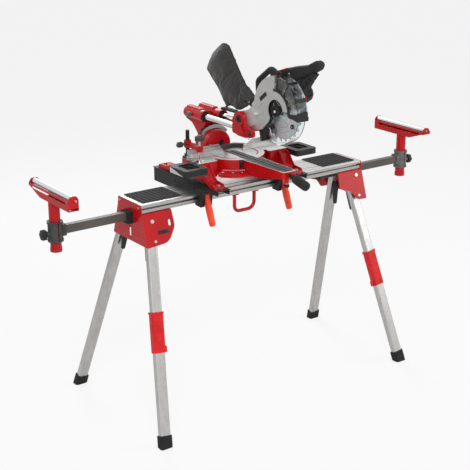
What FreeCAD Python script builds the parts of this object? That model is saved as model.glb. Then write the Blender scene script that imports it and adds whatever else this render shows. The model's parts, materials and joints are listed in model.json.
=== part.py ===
import FreeCAD, Part
import math
import os

V = FreeCAD.Vector

# ---------------------------------------------------------------- driving dimensions, mm
# Stand
rail_length = 1000
rail_width = 150
rail_top = 800
rail_depth = 32
rail_under = rail_top - rail_depth
splay = 17.5            # legs lean this far out to the front and back, degrees
lean = 7.5              # and this far out to the ends
hinge_x = 468
hinge_z = 735
plate_y = 80            # half width of the end brackets where they meet the rail
leg_wide = 40
leg_thick = 25
leg_inset = 14.6        # leg centre inside the left bracket's side sheet
nest = 32               # the right-hand legs sit this much further in, to fold beside the left
foot_reach = 775        # hinge to floor along a leg
arm_z = 748
post_x = 790
post_r = 19
bar_x = 172.5           # tool bars, each side of the saw's centre
bar_half = 25
bar_height = 40
bar_reach = 205
# Saw, measured from the turntable's axis at the height of the table
saw_x = -75
saw_y = -28
base_height = 72
table_r = 110
wing_x = 195
wing_front = -62
wing_back = 50
slot_front = -316
arm_tip = -324
tilt_z = 0
rail_x = 30
rail_z = 110
rail_r = 11
pivot_y = -103
pivot_z = 150
blade_y = -275
blade_z = 203
blade_r = 105
guard_r = 119
left_face = -26
right_face = 12
rest_y = 76             # the stand's centre line behind the middle of the whole outline

table_z = rail_top + 0.3 + bar_height + base_height
handle_line = V(0, -math.cos(math.radians(13)), -math.sin(math.radians(13)))
trigger_pin = (-323, 321)
hold_x = -176           # post of the hold-down clamp
hold_y = 38
hold_reach = 75


# ---------------------------------------------------------------- shape helpers
def box(x0, x1, y0, y1, z0, z1):
    return Part.makeBox(x1 - x0, y1 - y0, z1 - z0, V(x0, y0, z0))


def rod(start, end, radius):
    axis = end.sub(start)
    return Part.makeCylinder(radius, axis.Length, start, axis)


def join(shapes):
    whole = shapes[0]
    for other in shapes[1:]:
        whole = whole.fuse(other)
    return whole.removeSplitter()


def mirrored(shape):
    return shape.mirror(V(0, 0, 0), V(1, 0, 0))


def lay(shape, plane):
    # turns a flat shape drawn in XY so that its two axes become those of the named plane
    if plane == "yz":
        shape.Placement = FreeCAD.Placement(V(0, 0, 0), FreeCAD.Rotation(V(0, 1, 0), V(0, 0, 1), V(1, 0, 0)))
    if plane == "xz":
        shape.rotate(V(0, 0, 0), V(1, 0, 0), 90)
    return shape


def lift(plane, distance):
    return {"xy": V(0, 0, distance), "yz": V(distance, 0, 0), "xz": V(0, distance, 0)}[plane]


def rounded_wire(points):
    # points are (a, b) or (a, b, corner radius)
    corners = []
    for index, point in enumerate(points):
        here = V(point[0], point[1], 0)
        if len(point) == 2:
            corners.append((here, None, here))
            continue
        radius = point[2]
        before = V(points[index - 1][0], points[index - 1][1], 0).sub(here).normalize()
        following = points[(index + 1) % len(points)]
        after = V(following[0], following[1], 0).sub(here).normalize()
        half = before.getAngle(after) / 2
        back = radius / math.tan(half)
        middle_way = before.add(after).normalize()
        centre = here + middle_way * (radius / math.sin(half))
        corners.append((here + before * back, centre - middle_way * radius, here + after * back))
    edges = []
    for index, (start, middle, end) in enumerate(corners):
        if middle is not None:
            edges.append(Part.Arc(start, middle, end).toShape())
        onward = corners[(index + 1) % len(corners)][0]
        if end.distanceToPoint(onward) > 1e-4:
            edges.append(Part.makeLine(end, onward))
    return Part.Wire(edges)


def prism(points, plane, low, high):
    face = lay(Part.Face(rounded_wire(points)), plane)
    face.translate(lift(plane, low))
    return face.extrude(lift(plane, high - low))


def disc(radius, plane, low, high, a=0, b=0):
    normal = lift(plane, 1)
    at = {"xy": V(a, b, low), "yz": V(low, a, b), "xz": V(a, low, b)}[plane]
    return Part.makeCylinder(radius, high - low, at, normal)


def ring(inner, outer, plane, low, high, a=0, b=0):
    return disc(outer, plane, low, high, a, b).cut(disc(inner, plane, low - 1, high + 1, a, b))


def sector(inner, outer, start, end, plane, low, high, a=0, b=0):
    # part of a ring between two angles, from the plane's first axis to its second
    def at(radius, angle):
        return V(a + radius * math.cos(math.radians(angle)), b + radius * math.sin(math.radians(angle)), 0)
    middle = (start + end) / 2
    edges = [Part.Arc(at(outer, start), at(outer, middle), at(outer, end)).toShape()]
    edges.append(Part.makeLine(at(outer, end), at(inner, end)))
    edges.append(Part.Arc(at(inner, end), at(inner, middle), at(inner, start)).toShape())
    edges.append(Part.makeLine(at(inner, start), at(outer, start)))
    face = lay(Part.Face(Part.Wire(edges)), plane)
    face.translate(lift(plane, low))
    return face.extrude(lift(plane, high - low))


def revolved(points, axis_start, axis):
    # points are (radius, distance along the axis); the solid of revolution
    wire = Part.makePolygon([V(r, 0, h) for r, h in points] + [V(points[0][0], 0, points[0][1])])
    solid = Part.Face(wire).revolve(V(0, 0, 0), V(0, 0, 1), 360)
    turn = FreeCAD.Rotation(V(0, 0, 1), axis)
    solid.Placement = FreeCAD.Placement(axis_start, turn)
    return solid


def bent_rod(points, radius, plane, offset):
    # a round bar along a path in the named plane; each bend is (a, b, bend radius)
    edges = []
    last = V(points[0][0], points[0][1], 0)
    for index in range(1, len(points) - 1):
        here = V(points[index][0], points[index][1], 0)
        before = V(points[index - 1][0], points[index - 1][1], 0).sub(here).normalize()
        after = V(points[index + 1][0], points[index + 1][1], 0).sub(here).normalize()
        bend = points[index][2]
        half = before.getAngle(after) / 2
        back = bend / math.tan(half)
        middle_way = before.add(after).normalize()
        centre = here + middle_way * (bend / math.sin(half))
        edges.append(Part.makeLine(last, here + before * back))
        edges.append(Part.Arc(here + before * back, centre - middle_way * bend, here + after * back).toShape())
        last = here + after * back
    edges.append(Part.makeLine(last, V(points[-1][0], points[-1][1], 0)))
    path = lay(Part.Wire(edges), plane)
    path.translate(lift(plane, offset))
    start = path.Edges[0].Vertexes[0].Point
    heading = path.Edges[0].tangentAt(path.Edges[0].FirstParameter)
    section = Part.Wire(Part.makeCircle(radius, start, heading))
    return path.makePipeShell([section], True, False)


def softened(shape, radius, chosen):
    # rounds the edges whose middle point passes the test
    edges = []
    for edge in shape.Edges:
        middle = edge.valueAt((edge.FirstParameter + edge.LastParameter) / 2)
        if chosen(middle, edge):
            edges.append(edge)
    return shape.makeFillet(radius, edges)


def hex_head(at, axis, across, height):
    corner = across / math.sqrt(3)
    angles = [math.radians(60 * k) for k in range(6)]
    points = [V(corner * math.cos(angle), corner * math.sin(angle), 0) for angle in angles]
    head = Part.Face(Part.makePolygon(points + [points[0]])).extrude(V(0, 0, height))
    head.Placement = FreeCAD.Placement(at, FreeCAD.Rotation(V(0, 0, 1), axis))
    return head


def knob(at, axis, radius, height, lobes):
    # a hand knob with scallops round its edge
    body = Part.makeCylinder(radius, height, V(0, 0, 0), V(0, 0, 1))
    for k in range(lobes):
        turn = 2 * math.pi * k / lobes
        scallop = Part.makeCylinder(radius * 0.3, height, V(radius * 1.12 * math.cos(turn),
                                                            radius * 1.12 * math.sin(turn), 0))
        body = body.cut(scallop)
    body = body.fuse(Part.makeCone(radius * 0.7, radius * 0.5, height * 0.25, V(0, 0, height), V(0, 0, 1)))
    body.Placement = FreeCAD.Placement(at, FreeCAD.Rotation(V(0, 0, 1), axis))
    return body


# ---------------------------------------------------------------- stand
def rail():
    half = rail_width / 2
    outline = [(-half, rail_under, 3), (half, rail_under, 3), (half, rail_top, 3), (-half, rail_top, 3)]
    body = prism(outline, "yz", -rail_length / 2, rail_length / 2)
    ends = rail_length / 2 + 1
    for low, high in ((-62, -24), (-21, 21), (24, 62)):
        body = body.cut(box(-ends, ends, low, high, rail_under + 3, rail_top - 3))
    for side in (-1, 1):
        near, far = sorted((side * (half - 7), side * (half + 1)))
        body = body.cut(box(-ends, ends, near, far, rail_under + 13, rail_under + 21))
        near, far = sorted((side * (half - 11), side * (half - 6)))
        body = body.cut(box(-ends, ends, near, far, rail_under + 9, rail_under + 25))
        near, far = sorted((side * 38, side * 42))
        body = body.cut(box(-ends, ends, near, far, rail_top - 1.5, rail_top + 1))
        near, far = sorted((side * (half - 1.2), side * (half + 1)))
        body = body.cut(box(-ends, ends, near, far, rail_under + 5, rail_under + 7))
    return body


def grip_mat():
    outline = [(322, -58, 6), (484, -58, 6), (484, 72, 6), (322, 72, 6)]
    mat = prism(outline, "xy", rail_top, rail_top + 2)
    for step in range(9):
        x = 334 + step * 17
        mat = mat.fuse(box(x, x + 7, -50, 64, rail_top + 1.5, rail_top + 3.4))
    return mat


def arm_guide():
    # a black block outside the bracket with a sleeve through it for the support arm
    x = rail_length / 2
    block = prism([(-25, arm_z - 25, 5), (25, arm_z - 25, 5), (25, arm_z + 18, 5), (-25, arm_z + 18, 5)],
                  "yz", x + 3, x + 24)
    block = block.fuse(box(x - 30, x + 4, -15.5, 15.5, arm_z - 18.5, arm_z + 18))
    return block.cut(box(x - 31, x + 25, -12.15, 12.15, arm_z - 15.15, arm_z + 15.15))


def rail_fittings():
    return Part.makeCompound([grip_mat(), mirrored(grip_mat()), arm_guide(), mirrored(arm_guide())])


def side_sheet_outline(end):
    # drawn flat: x along the rail, z down from the hinge line at the rail's underside
    if end == "left":
        return [(-503, 0), (-383, 0), (-380, -60, 40), (-414, -112, 46), (-503, -118, 4)]
    return [(503, 0), (383, 0), (378, -62, 12), (428, -78, 30), (462, -116, 14), (503, -118, 4)]


def end_bracket(end):
    side = -1 if end == "left" else 1
    slope = math.tan(math.radians(splay))
    top = rail_under
    low = top - 118 * math.cos(math.radians(splay))
    x = side * rail_length / 2
    spread = plate_y + (top - low) * slope
    sheet = [(-spread, low, 3), (spread, low, 3), (plate_y, top), (75, rail_top, 4), (-75, rail_top, 4),
             (-plate_y, top)]
    near, far = sorted((x, x + side * 3))
    plate = prism(sheet, "yz", near, far)
    plate = plate.cut(box(x - 5, x + 5, -15.7, 15.7, arm_z - 18.7, arm_z + 18.2))
    plate = plate.cut(prism([(-6, 672, 3), (6, 672, 3), (6, 712, 3), (-6, 712, 3)], "yz", x - 5, x + 5))
    shapes = [plate]
    for face in (-1, 1):
        wing = prism(side_sheet_outline(end), "xz", -1.5, 1.5)
        if end == "left":
            wing = wing.cut(prism([(-404, -34, 4.5), (-394, -34, 4.5), (-394, -56, 4.5), (-404, -56, 4.5)],
                                  "xz", -3, 3))
        wing = wing.cut(disc(4.05, "xz", -3, 3, side * hinge_x, -hinge_depth(side)))
        wing.rotate(V(0, 0, 0), V(1, 0, 0), face * splay)
        wing.translate(V(0, face * (plate_y - 1.5), top))
        shapes.append(wing)
        near, far = sorted((face * 55, face * (plate_y + 0.6)))
        inner, outer = sorted((side * 383, side * 503))
        shapes.append(box(inner, outer, near, far, top - 3, top))
    bracket = join(shapes)
    return bracket


def leg_offset(side):
    # from the middle of the side sheet to the middle of the leg
    return leg_inset + (nest if side > 0 else 0)


def hinge_depth(side):
    # how far down the side sheet the hinge bolt passes through it
    angle = math.radians(splay)
    return (rail_under - hinge_z - leg_offset(side) * math.sin(angle)) / math.cos(angle)


def hinge_point(side, face):
    angle = math.radians(splay)
    out = hinge_depth(side) * math.sin(angle) - leg_offset(side) * math.cos(angle)
    return V(side * hinge_x, face * (plate_y - 1.5 + out), hinge_z)


def hung(shape, side, face):
    # from a leg drawn straight down (its flat side facing front, its outer end side to +X)
    # to its place: leaned out to the end, then splayed out to the front or back
    shape.rotate(V(0, 0, 0), V(0, 1, 0), -side * lean)
    shape.rotate(V(0, 0, 0), V(1, 0, 0), face * splay)
    shape.translate(hinge_point(side, face))
    return shape


def leg_section(wide, thick, radius):
    return [(-wide, -thick, radius), (wide, -thick, radius), (wide, thick, radius), (-wide, thick, radius)]


def leg(side, face):
    wide = leg_wide / 2
    thick = leg_thick / 2
    tube = prism(leg_section(wide, thick, 7), "xy", -foot_reach + 14, 20)
    tube = tube.cut(prism(leg_section(wide - 2, thick - 2, 5), "xy", -foot_reach, 21))
    tube = tube.cut(disc(4.1, "xz", -20, 20, 0, 0))
    lug = box(-4.4, 4.4, thick - 1, thick + 6, -50, -38)
    lug = lug.cut(rod(V(-10, thick + 3.6, -44), V(10, thick + 3.6, -44), 1.66))
    if face > 0:
        lug.rotate(V(0, 0, 0), V(0, 0, 1), 180)
    tube = tube.fuse(lug)
    foot = prism(leg_section(wide + 4, thick + 4, 9), "xy", -foot_reach - 14, -foot_reach + 38)
    foot = softened(foot, 3, lambda p, e: p.z > -foot_reach + 37)
    foot = foot.cut(prism(leg_section(wide + 0.02, thick + 0.02, 7), "xy", -foot_reach + 14, -foot_reach + 40))
    hung(tube, side, face)
    hung(foot, side, face)
    foot = foot.common(box(-900, 900, -900, 900, 0, 400))
    return Part.makeCompound([tube, foot])


def leg_grip(side):
    # a moulded carrying sleeve with a lip round its top
    wide = leg_wide / 2
    thick = leg_thick / 2
    low, high = (-452, -311)
    sleeve = prism(leg_section(wide + 3, thick + 3, 8), "xy", low, high)
    lip = prism(leg_section(wide + 5, thick + 5, 9), "xy", high - 7, high)
    tab = prism([(-side * 22, low, 2), (-side * 31, low, 2), (-side * 31, low + 20, 4),
                 (-side * 22, low + 26, 1)], "xz", -6, 6)
    sleeve = sleeve.fuse(lip).fuse(tab)
    sleeve = sleeve.cut(prism(leg_section(wide + 0.02, thick + 0.02, 7), "xy", low - 1, high + 1))
    for step in range(6):
        z = low + 34 + step * 14
        sleeve = sleeve.cut(box(-wide - 5, wide + 5, -thick - 5, -thick - 2, z, z + 4))
    return hung(sleeve, side, -1)


def leg_lever(side, face):
    # squeeze lever on the leg's inner face: a fork at its pivot, tapering to a rounded tip
    half = leg_thick / 2
    fork = [(-11, 6, 4), (-12, -28, 3), (-6.5, -92, 5), (6.5, -92, 5), (12, -28, 3), (11, 6, 4)]
    paddle = prism(fork, "xz", 0, 9)
    paddle = paddle.cut(prism([(-5, 8), (-5, -12, 4.5), (5, -12, 4.5), (5, 8)], "xz", -1, 4.5))
    paddle = softened(paddle, 2.5, lambda p, e: p.y > 8.9)
    paddle.rotate(V(0, 0, 0), V(1, 0, 0), 9)
    paddle.translate(V(0, half + 1.2, -47))
    pin = rod(V(-10, half + 3.6, -44), V(10, half + 3.6, -44), 1.6)
    lever = paddle.cut(box(-5, 5, half, half + 7, -56, -36))
    whole = join([lever, pin])
    if face > 0:
        whole.rotate(V(0, 0, 0), V(0, 0, 1), 180)
    return hung(whole, side, face)


def bracket_bolts():
    # hinge bolts, lock bolts and the corner screws of the two end brackets
    shapes = []
    for side in (-1, 1):
        for face in (-1, 1):
            reach = leg_offset(side)
            bolt = rod(V(0, face * (reach + 1.6), 0), V(0, -face * 15.5, 0), 4)
            head = rod(V(0, face * (reach + 1.6), 0), V(0, face * (reach + 5.6), 0), 7)
            nut = hex_head(V(0, -face * 13, 0), V(0, -face, 0), 12, 5)
            parts = join([bolt, head, nut])
            if side > 0:
                spacer = rod(V(0, face * 13, 0), V(0, face * (reach - 1.7), 0), 8)
                parts = join([parts, spacer])
            turned = parts.copy()
            turned.rotate(V(0, 0, 0), V(1, 0, 0), face * splay)
            turned.translate(hinge_point(side, face))
            shapes.append(turned)
            shapes.append(rod(V(side * 503, face * 64, 788), V(side * 506, face * 64, 788), 4.5))
            low = V(side * hinge_x, 0, 0)
            screw = rod(V(0, face * 1.5, 0), V(0, face * 4, 0), 5)
            screw.translate(V(0, 0, -100))
            screw.rotate(V(0, 0, 0), V(1, 0, 0), face * splay)
            screw.translate(V(0, face * (plate_y - 1.5), rail_under).add(low))
            shapes.append(screw)
    return Part.makeCompound(shapes)


def carry_loop():
    path = [(-95, rail_under - 4), (-95, rail_under - 70, 22), (-6, rail_under - 70, 28), (-6, rail_under - 4)]
    loop = bent_rod(path, 6.5, "xz", -58)
    shapes = [loop]
    for x in (-95, -6):
        shapes.append(prism([(x - 14, -70, 5), (x + 14, -70, 5), (x + 14, -46, 5), (x - 14, -46, 5)], "xy",
                            rail_under - 5, rail_under))
    return join(shapes)


def support_arm(side):
    # rectangular steel tube; its outer end is welded into the clamp's socket
    near, far = sorted((side * 352, side * (post_x - 20)))
    tube = prism([(-12, arm_z - 15, 3), (12, arm_z - 15, 3), (12, arm_z + 15, 3), (-12, arm_z + 15, 3)],
                 "yz", near, far)
    tube = tube.cut(prism([(-10, arm_z - 13, 1.5), (10, arm_z - 13, 1.5), (10, arm_z + 13, 1.5),
                           (-10, arm_z + 13, 1.5)],
                          "yz", near - 1, far + 1))
    inner = side * 352
    near, far = sorted((inner, inner - side * 8))
    stop = prism([(-12, arm_z - 18, 2), (12, arm_z - 18, 2), (12, arm_z + 16, 2), (-12, arm_z + 16, 2)],
                 "yz", near, far)
    return join([tube, stop])


def post_clamp(side):
    # round collar split on its front, with a threaded boss for the hand screw
    x = side * post_x
    low, high = arm_z - 36, arm_z + 34
    shapes = [disc(25, "xy", low, high, x, 0)]
    near, far = sorted((x - side * 20, x - side * 34))
    shapes.append(prism([(-17, arm_z - 20, 3), (17, arm_z - 20, 3), (17, arm_z + 20, 3),
                         (-17, arm_z + 20, 3)], "yz", near, far))
    shapes.append(rod(V(x + side * 20, 0, arm_z - 8), V(x + side * 34, 0, arm_z - 8), 10))
    collar = join(shapes)
    for z in (low, high - 8):
        collar = collar.fuse(disc(27, "xy", z, z + 8, x, 0))
    collar = collar.cut(disc(post_r + 0.05, "xy", low - 1, high + 1, x, 0))
    collar = collar.cut(rod(V(x + side * 18, 0, arm_z - 8), V(x + side * 40, 0, arm_z - 8), 5.05))
    collar = collar.cut(box(*sorted((x - side * 36, x - side * 19.5)), -12.02, 12.02, arm_z - 15.02, arm_z + 15.02))
    collar = collar.cut(box(x - 2, x + 2, -30, -15, low - 1, high + 1))
    return collar.removeSplitter()


def clamp_knob(side):
    x = side * post_x
    screw = rod(V(x + side * (post_r + 0.3), 0, arm_z - 8), V(x + side * 38, 0, arm_z - 8), 5)
    hand = knob(V(x + side * 36, 0, arm_z - 8), V(side, 0, 0), 18, 15, 6)
    return join([screw, hand])


def support_post(side):
    # upright tube carrying an open channel for the roller; the right-hand one is turned round
    tube = disc(post_r, "xy", 682, 852, 0, 0)
    tube = tube.cut(disc(post_r - 2, "xy", 681, 850, 0, 0))
    cap = ring(post_r - 6, post_r + 1.5, "xy", 676, 690, 0, 0).cut(disc(post_r, "xy", 682, 691, 0, 0))
    low, high = 850, 886
    channel = box(-19, 19, -140, 142, low, high)
    channel = channel.cut(box(-17, 17, -145, 145, low + 2, high + 1))
    wedge = prism([(60, low - 1), (150, low - 1), (150, high - 8), (136, high - 10)], "yz", -25, 25)
    channel = channel.cut(wedge)
    for flank in (-1, 1):
        slot = [(-118, high - 15, 3.4), (118, high - 15, 3.4), (118, high - 8, 3.4), (-118, high - 8, 3.4)]
        channel = channel.cut(prism(slot, "yz", *sorted((flank * 15, flank * 22))))
    ends = []
    for y0, y1 in ((-140, -137), (135, 138)):
        plate = prism([(-19, low + 8 if y0 < 0 else high - 12), (19, low + 8 if y0 < 0 else high - 12),
                       (19, high + 2, 6), (11, high + 14, 8), (-11, high + 14, 8), (-19, high + 2, 6)],
                      "xz", y0, y1)
        ends.append(plate.cut(disc(3.05, "xz", y0 - 1, y1 + 1, 0, 888)))
    whole = join([tube, cap, channel] + ends)
    if side > 0:
        whole.rotate(V(0, 0, 0), V(0, 0, 1), 180)
    whole.translate(V(side * post_x, 0, 0))
    return whole


def support_roller(side):
    tube = disc(12, "xz", -134, 132, 0, 888)
    for y0, y1 in ((-135, -120), (118, 133)):
        tube = tube.cut(disc(9, "xz", y0, y1, 0, 888))
    axle = disc(3, "xz", -158, 141, 0, 888)
    roller = join([tube, axle])
    if side > 0:
        roller.rotate(V(0, 0, 0), V(0, 0, 1), 180)
    roller.translate(V(side * post_x, 0, 0))
    return roller


def bar_lever_pivot(side):
    return V(saw_x + side * bar_x, -rail_width / 2 - 22, rail_top - 4)


def tool_bar(side):
    # folded channel across the rail, deeper at the back, with a clamp block at the front
    x = saw_x + side * bar_x
    low = rail_top + 0.3
    high = low + bar_height
    outline = [(-bar_reach, high - 18, 3), (-bar_reach, high), (bar_reach, high), (bar_reach, low - 14, 3),
               (92, low - 14, 3), (82, low), (-92, low), (-126, high - 18, 6)]
    body = prism(outline, "yz", x - bar_half, x + bar_half)
    body = body.cut(box(x - bar_half + 3, x + bar_half - 3, -bar_reach - 1, bar_reach + 1, low - 20, high - 3))
    lip = box(x - bar_half - 4, x + bar_half + 4, -bar_reach, bar_reach, high - 2.5, high)
    body = body.fuse(lip)
    for start, end in ((-196, -112), (-96, -50), (52, 98), (112, 196)):
        slot = [(x - 4.5, start, 4.4), (x + 4.5, start, 4.4), (x + 4.5, end, 4.4), (x - 4.5, end, 4.4)]
        body = body.cut(prism(slot, "xy", high - 5, high + 1))
    for y in (-60, 60):
        body = body.cut(disc(4, "yz", x - 40, x + 40, y, low + 18))
    half = rail_width / 2
    clamp = [(-half - 34, low + 26, 6), (-half + 18, low + 26), (-half + 18, low), (-half - 0.3, low),
             (-half - 0.3, rail_under - 0.3), (-half + 16, rail_under - 0.3), (-half + 12, rail_under - 11, 3),
             (-half - 26, rail_under - 13, 6)]
    block = prism(clamp, "yz", x - 22.5, x + 22.5)
    block = block.cut(box(x - 9, x + 9, -half - 40, -half - 8, low - 60, low + 14))
    pin = bar_lever_pivot(side)
    block = block.fuse(rod(pin - V(22, 0, 0), pin + V(22, 0, 0), 3))
    rear = [(half + 0.3, low), (half + 22, low), (half + 18, rail_under - 12, 4), (half - 14, rail_under - 9, 3),
            (half - 12, rail_under - 0.3), (half + 0.3, rail_under - 0.3)]
    hook = prism(rear, "yz", x - 22.5, x + 22.5)
    return join([body, block, hook])


def bar_lever(side):
    # cam lever: a round eye, a flat handle and a rounded end
    at = bar_lever_pivot(side)
    eye = disc(11, "yz", -8, 8, 0, 0)
    handle = prism([(-9, 6, 3), (9, 6, 3), (13, -60, 12), (10, -112, 9.5), (-10, -112, 9.5),
                    (-13, -60, 12)], "yz", -8, 8)
    handle = softened(handle, 3, lambda p, e: abs(abs(p.x) - 8) < 0.01 and p.z < 0)
    whole = join([eye, handle])
    whole = whole.cut(disc(3.05, "yz", -10, 10, 0, 0))
    whole.rotate(V(0, 0, 0), V(1, 0, 0), -22)
    whole.translate(at)
    return whole


# ---------------------------------------------------------------- saw, in its own frame
def front_foot(side):
    near, far = sorted((side * 152, side * wing_x))
    outline = [(-58, -5), (-72, -8, 6), (-108, -54, 10), (-150, -58, 4), (-158, -72), (-122, -72),
               (-98, -58, 8), (-58, -58)]
    foot = prism(outline, "yz", near, far)
    near, far = sorted((side * 158, side * 188))
    pocket = [(-66, 10), (-66, -15), (-74, -18, 4), (-112, -64, 6), (-170, -64), (-170, 10)]
    return foot.cut(prism(pocket, "yz", near, far))


def rear_foot(side):
    near, far = sorted((side * 146, side * 192))
    outline = [(44, -22), (70, -26, 10), (160, -57, 20), (206, -57, 8), (212, -72), (160, -72),
               (90, -58, 10), (44, -56)]
    foot = prism(outline, "yz", near, far)
    near, far = sorted((side * 153, side * 185))
    pocket = [(54, -73), (54, -32), (72, -34, 8), (160, -62, 10), (160, -73)]
    return foot.cut(prism(pocket, "yz", near, far))


def saw_base():
    # a hollow casting: two table wings, a bowl for the turntable, a scale flange and four feet
    slab = prism([(-wing_x, wing_front, 4), (-118, wing_front, 3), (-108, wing_front + 16, 3),
                  (108, wing_front + 16, 3), (118, wing_front, 3), (wing_x, wing_front, 4),
                  (wing_x, wing_back, 6), (-wing_x, wing_back, 6)], "xy", -58, 0)
    flange = [(96, -44), (96, -33), (113.5, -33), (150, -46), (150, -52), (126, -62), (112, -60),
              (108, -52), (102, -44)]
    wire = Part.makePolygon([V(r, 0, z) for r, z in flange] + [V(flange[0][0], 0, flange[0][1])])
    scale = Part.Face(wire).revolve(V(0, 0, 0), V(0, 0, 1), 116)
    scale.rotate(V(0, 0, 0), V(0, 0, 1), 212)
    body = slab.fuse(disc(116, "xy", -44, -34)).fuse(scale)
    for side in (-1, 1):
        body = body.fuse(front_foot(side)).fuse(rear_foot(side))
    body = body.cut(disc(table_r + 1, "xy", -38, 1))
    body = body.cut(sector(100, 123, 198, 342, "xy", -33, 1))
    for side in (-1, 1):
        body = body.cut(box(*sorted((side * 119, side * 189)), wing_front + 6, wing_back - 6, -60, -6))
        for y in (-52, -22):
            body = body.cut(disc(5.05, "yz", *sorted((side * 186, side * 200)), y, -12))
        for y in (-146, 192):
            body = body.cut(disc(4.2, "xy", -80, -40, side * bar_x, y))
    body = body.cut(box(-100, 100, wing_front + 22, wing_back - 6, -60, -44))
    for side in (-1, 1):
        body = body.fuse(box(*sorted((side * 119, side * 189)), -5, 1, -50, -5))
    for side in (-1, 1):
        for y in (-52, -22):
            body = body.cut(disc(5.05, "yz", *sorted((side * 110, side * 200)), y, -12))
    body = body.cut(disc(9.1, "xy", -60, 0))
    return body.removeSplitter()


def fence():
    # fixed lower fence, one casting with a low bridge behind the turntable
    shapes = []
    for side in (-1, 1):
        far = side * 200
        near = side * 40
        shapes.append(prism([(near, 0.4), (far, 0.4), (far, 21, 2), (near + side * 10, 21, 2)], "xz", 2, 9))
        shapes.append(box(*sorted((side * 120, side * 192)), 8, 33, 0.02, 7))
        for x in (122, 140, 158):
            shapes.append(prism([(8, 6), (32, 6), (8, 20)], "yz", *sorted((side * x, side * (x + 4)))))
    bridge = [(-124, 12), (-86, 12, 6), (-62, 50, 10), (-46, 65, 8), (46, 65, 8), (62, 50, 10), (86, 12, 6),
              (124, 12),
              (124, 26), (104, 30, 10), (71, 62, 10), (56, 78, 8), (-56, 78, 8), (-71, 62, 10), (-104, 30,
                                                                                                 10), (-124, 26)]
    shapes.append(prism(bridge, "xy", 1.2, 12))
    shapes.append(box(hold_x - 16, hold_x + 14, 30, 48, 0.02, 7))
    for side in (-1, 1):
        shapes.append(box(*sorted((side * 60, side * 124)), 8, 16, 1.2, 12))
    body = join(shapes)
    for side in (-1, 1):
        body = body.cut(box(*sorted((side * 70, side * 201)), 3.95, 7.05, 15.9, 22))
    return body.cut(disc(7.05, "xy", -1, 10, hold_x, hold_y))


def sliding_fence(side):
    far = side * 198
    near = side * 56
    lean_in = 22 if side > 0 else 8
    face = prism([(near, 21.4), (far, 21.4), (far, 38, 3), (near + side * lean_in, 38, 2)], "xz", 2, 9)
    rib = prism([(near + side * 12, 21.4), (far - side * 6, 21.4), (far - side * 6, 28), (near + side * 12,
                                                                                          28)], "xz", 8, 13)
    tongue = box(*sorted((side * 86, side * 186)), 4, 7, 16, 24)
    stud = rod(V(side * 90, 8, 30), V(side * 90, 18, 30), 4)
    hand = knob(V(side * 90, 15, 30), V(0, 1, 0), 9, 9, 5)
    return join([face, rib, tongue, stud, hand])


def extension(side):
    # moulded loop handle that also widens the table, on two steel rods
    near, far = (side * (wing_x + 0.4), side * 290)
    plate = prism([(near, -122, 8), (far, -122, 14), (far, -12, 14), (near, -12, 3)], "xy", -22, 0)
    plate = softened(plate, 3, lambda p, e: abs(p.z) < 0.01 and abs(p.x) > wing_x + 2)
    hole = [(side * 222, -92, 8), (side * 258, -92, 8), (side * 258, -42, 8), (side * 222, -42, 8)]
    plate = plate.cut(prism(hole, "xy", -30, 5))
    dish = [(side * 214, -101, 10), (side * 268, -101, 10), (side * 268, -33, 10), (side * 214, -33, 10)]
    plate = plate.cut(prism(dish, "xy", -6, 5))
    rods = [rod(V(side * 128, y, -12), V(side * 200, y, -12), 5) for y in (-52, -22)]
    return join([plate] + rods)


def hold_down_post():
    post = disc(7, "xy", 0.05, 100, hold_x, hold_y)
    return post.fuse(ring(7, 12, "xy", 7.05, 15, hold_x, hold_y)).removeSplitter()


def hold_down_arm():
    # cast arm: an eye on the post, a waisted beam and a threaded nose, with its lock screw
    nose = hold_y - hold_reach
    outline = [(hold_x - 13, hold_y + 14, 12), (hold_x + 13, hold_y + 14, 12), (hold_x + 9, hold_y - 42, 14),
               (hold_x + 12, nose - 13, 11), (hold_x - 12, nose - 13, 11), (hold_x - 9, hold_y - 42, 14)]
    beam = prism(outline, "xy", 42, 56)
    beam = beam.fuse(disc(13, "xy", 38, 64, hold_x, hold_y)).fuse(disc(11, "xy", 36, 58, hold_x, nose))
    beam = beam.cut(disc(7.05, "xy", 30, 70, hold_x, hold_y)).cut(disc(4.55, "xy", 30, 70, hold_x, nose))
    for near, far in ((-6, -2), (2, 6)):
        beam = beam.cut(box(hold_x + near, hold_x + far, hold_y - 58, hold_y - 24, 50, 60))
    screw = rod(V(hold_x - 14, hold_y, 51), V(hold_x - 12.8, hold_y, 51), 5)
    screw = screw.fuse(rod(V(hold_x - 26, hold_y, 51), V(hold_x - 13.2, hold_y, 51), 4))
    hand = knob(V(hold_x - 24, hold_y, 51), V(-1, 0, 0), 10, 17, 6)
    return Part.makeCompound([beam.removeSplitter(), join([screw, hand])])


def hold_down_screw():
    profile = [(0, 0.05), (20, 0.05), (20, 2.5), (12, 5), (7, 7), (4.5, 9), (4.5, 78), (0, 78)]
    spindle = revolved(profile, V(hold_x, hold_y - hold_reach, 0), V(0, 0, 1))
    hand = knob(V(hold_x, hold_y - hold_reach, 76), V(0, 0, 1), 16.5, 15, 8)
    return join([spindle, hand])


def table_arm_shape(inset, deeper):
    wide = 35 - inset
    tip = 28 - inset
    front = arm_tip + inset
    plan = [(-wide - 6, -60), (-wide - 2, -104, 20), (-tip, front, 9), (tip, front, 9),
            (wide + 2, -104, 20), (wide + 6, -60)]
    body = prism(plan, "xy", -60, 0)
    under = [(-40, 1), (-40, -30), (-112, -30), (-113, -32.2), (-151, -45.6), (-153, -49, 2), (-190, -48, 30),
             (front - 4, -21, 6), (front - 4, 1)]
    lifted = [(a, b + deeper if b < 0 else b) + tuple(rest) for a, b, *rest in under]
    return body.common(prism(lifted, "yz", -60, 60))


def handle_socket():
    # along the line of the handle's neck
    start = V(0, arm_tip + 5.5, -10.8)
    return rod(start, start + handle_line * 28, 7.05)


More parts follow.
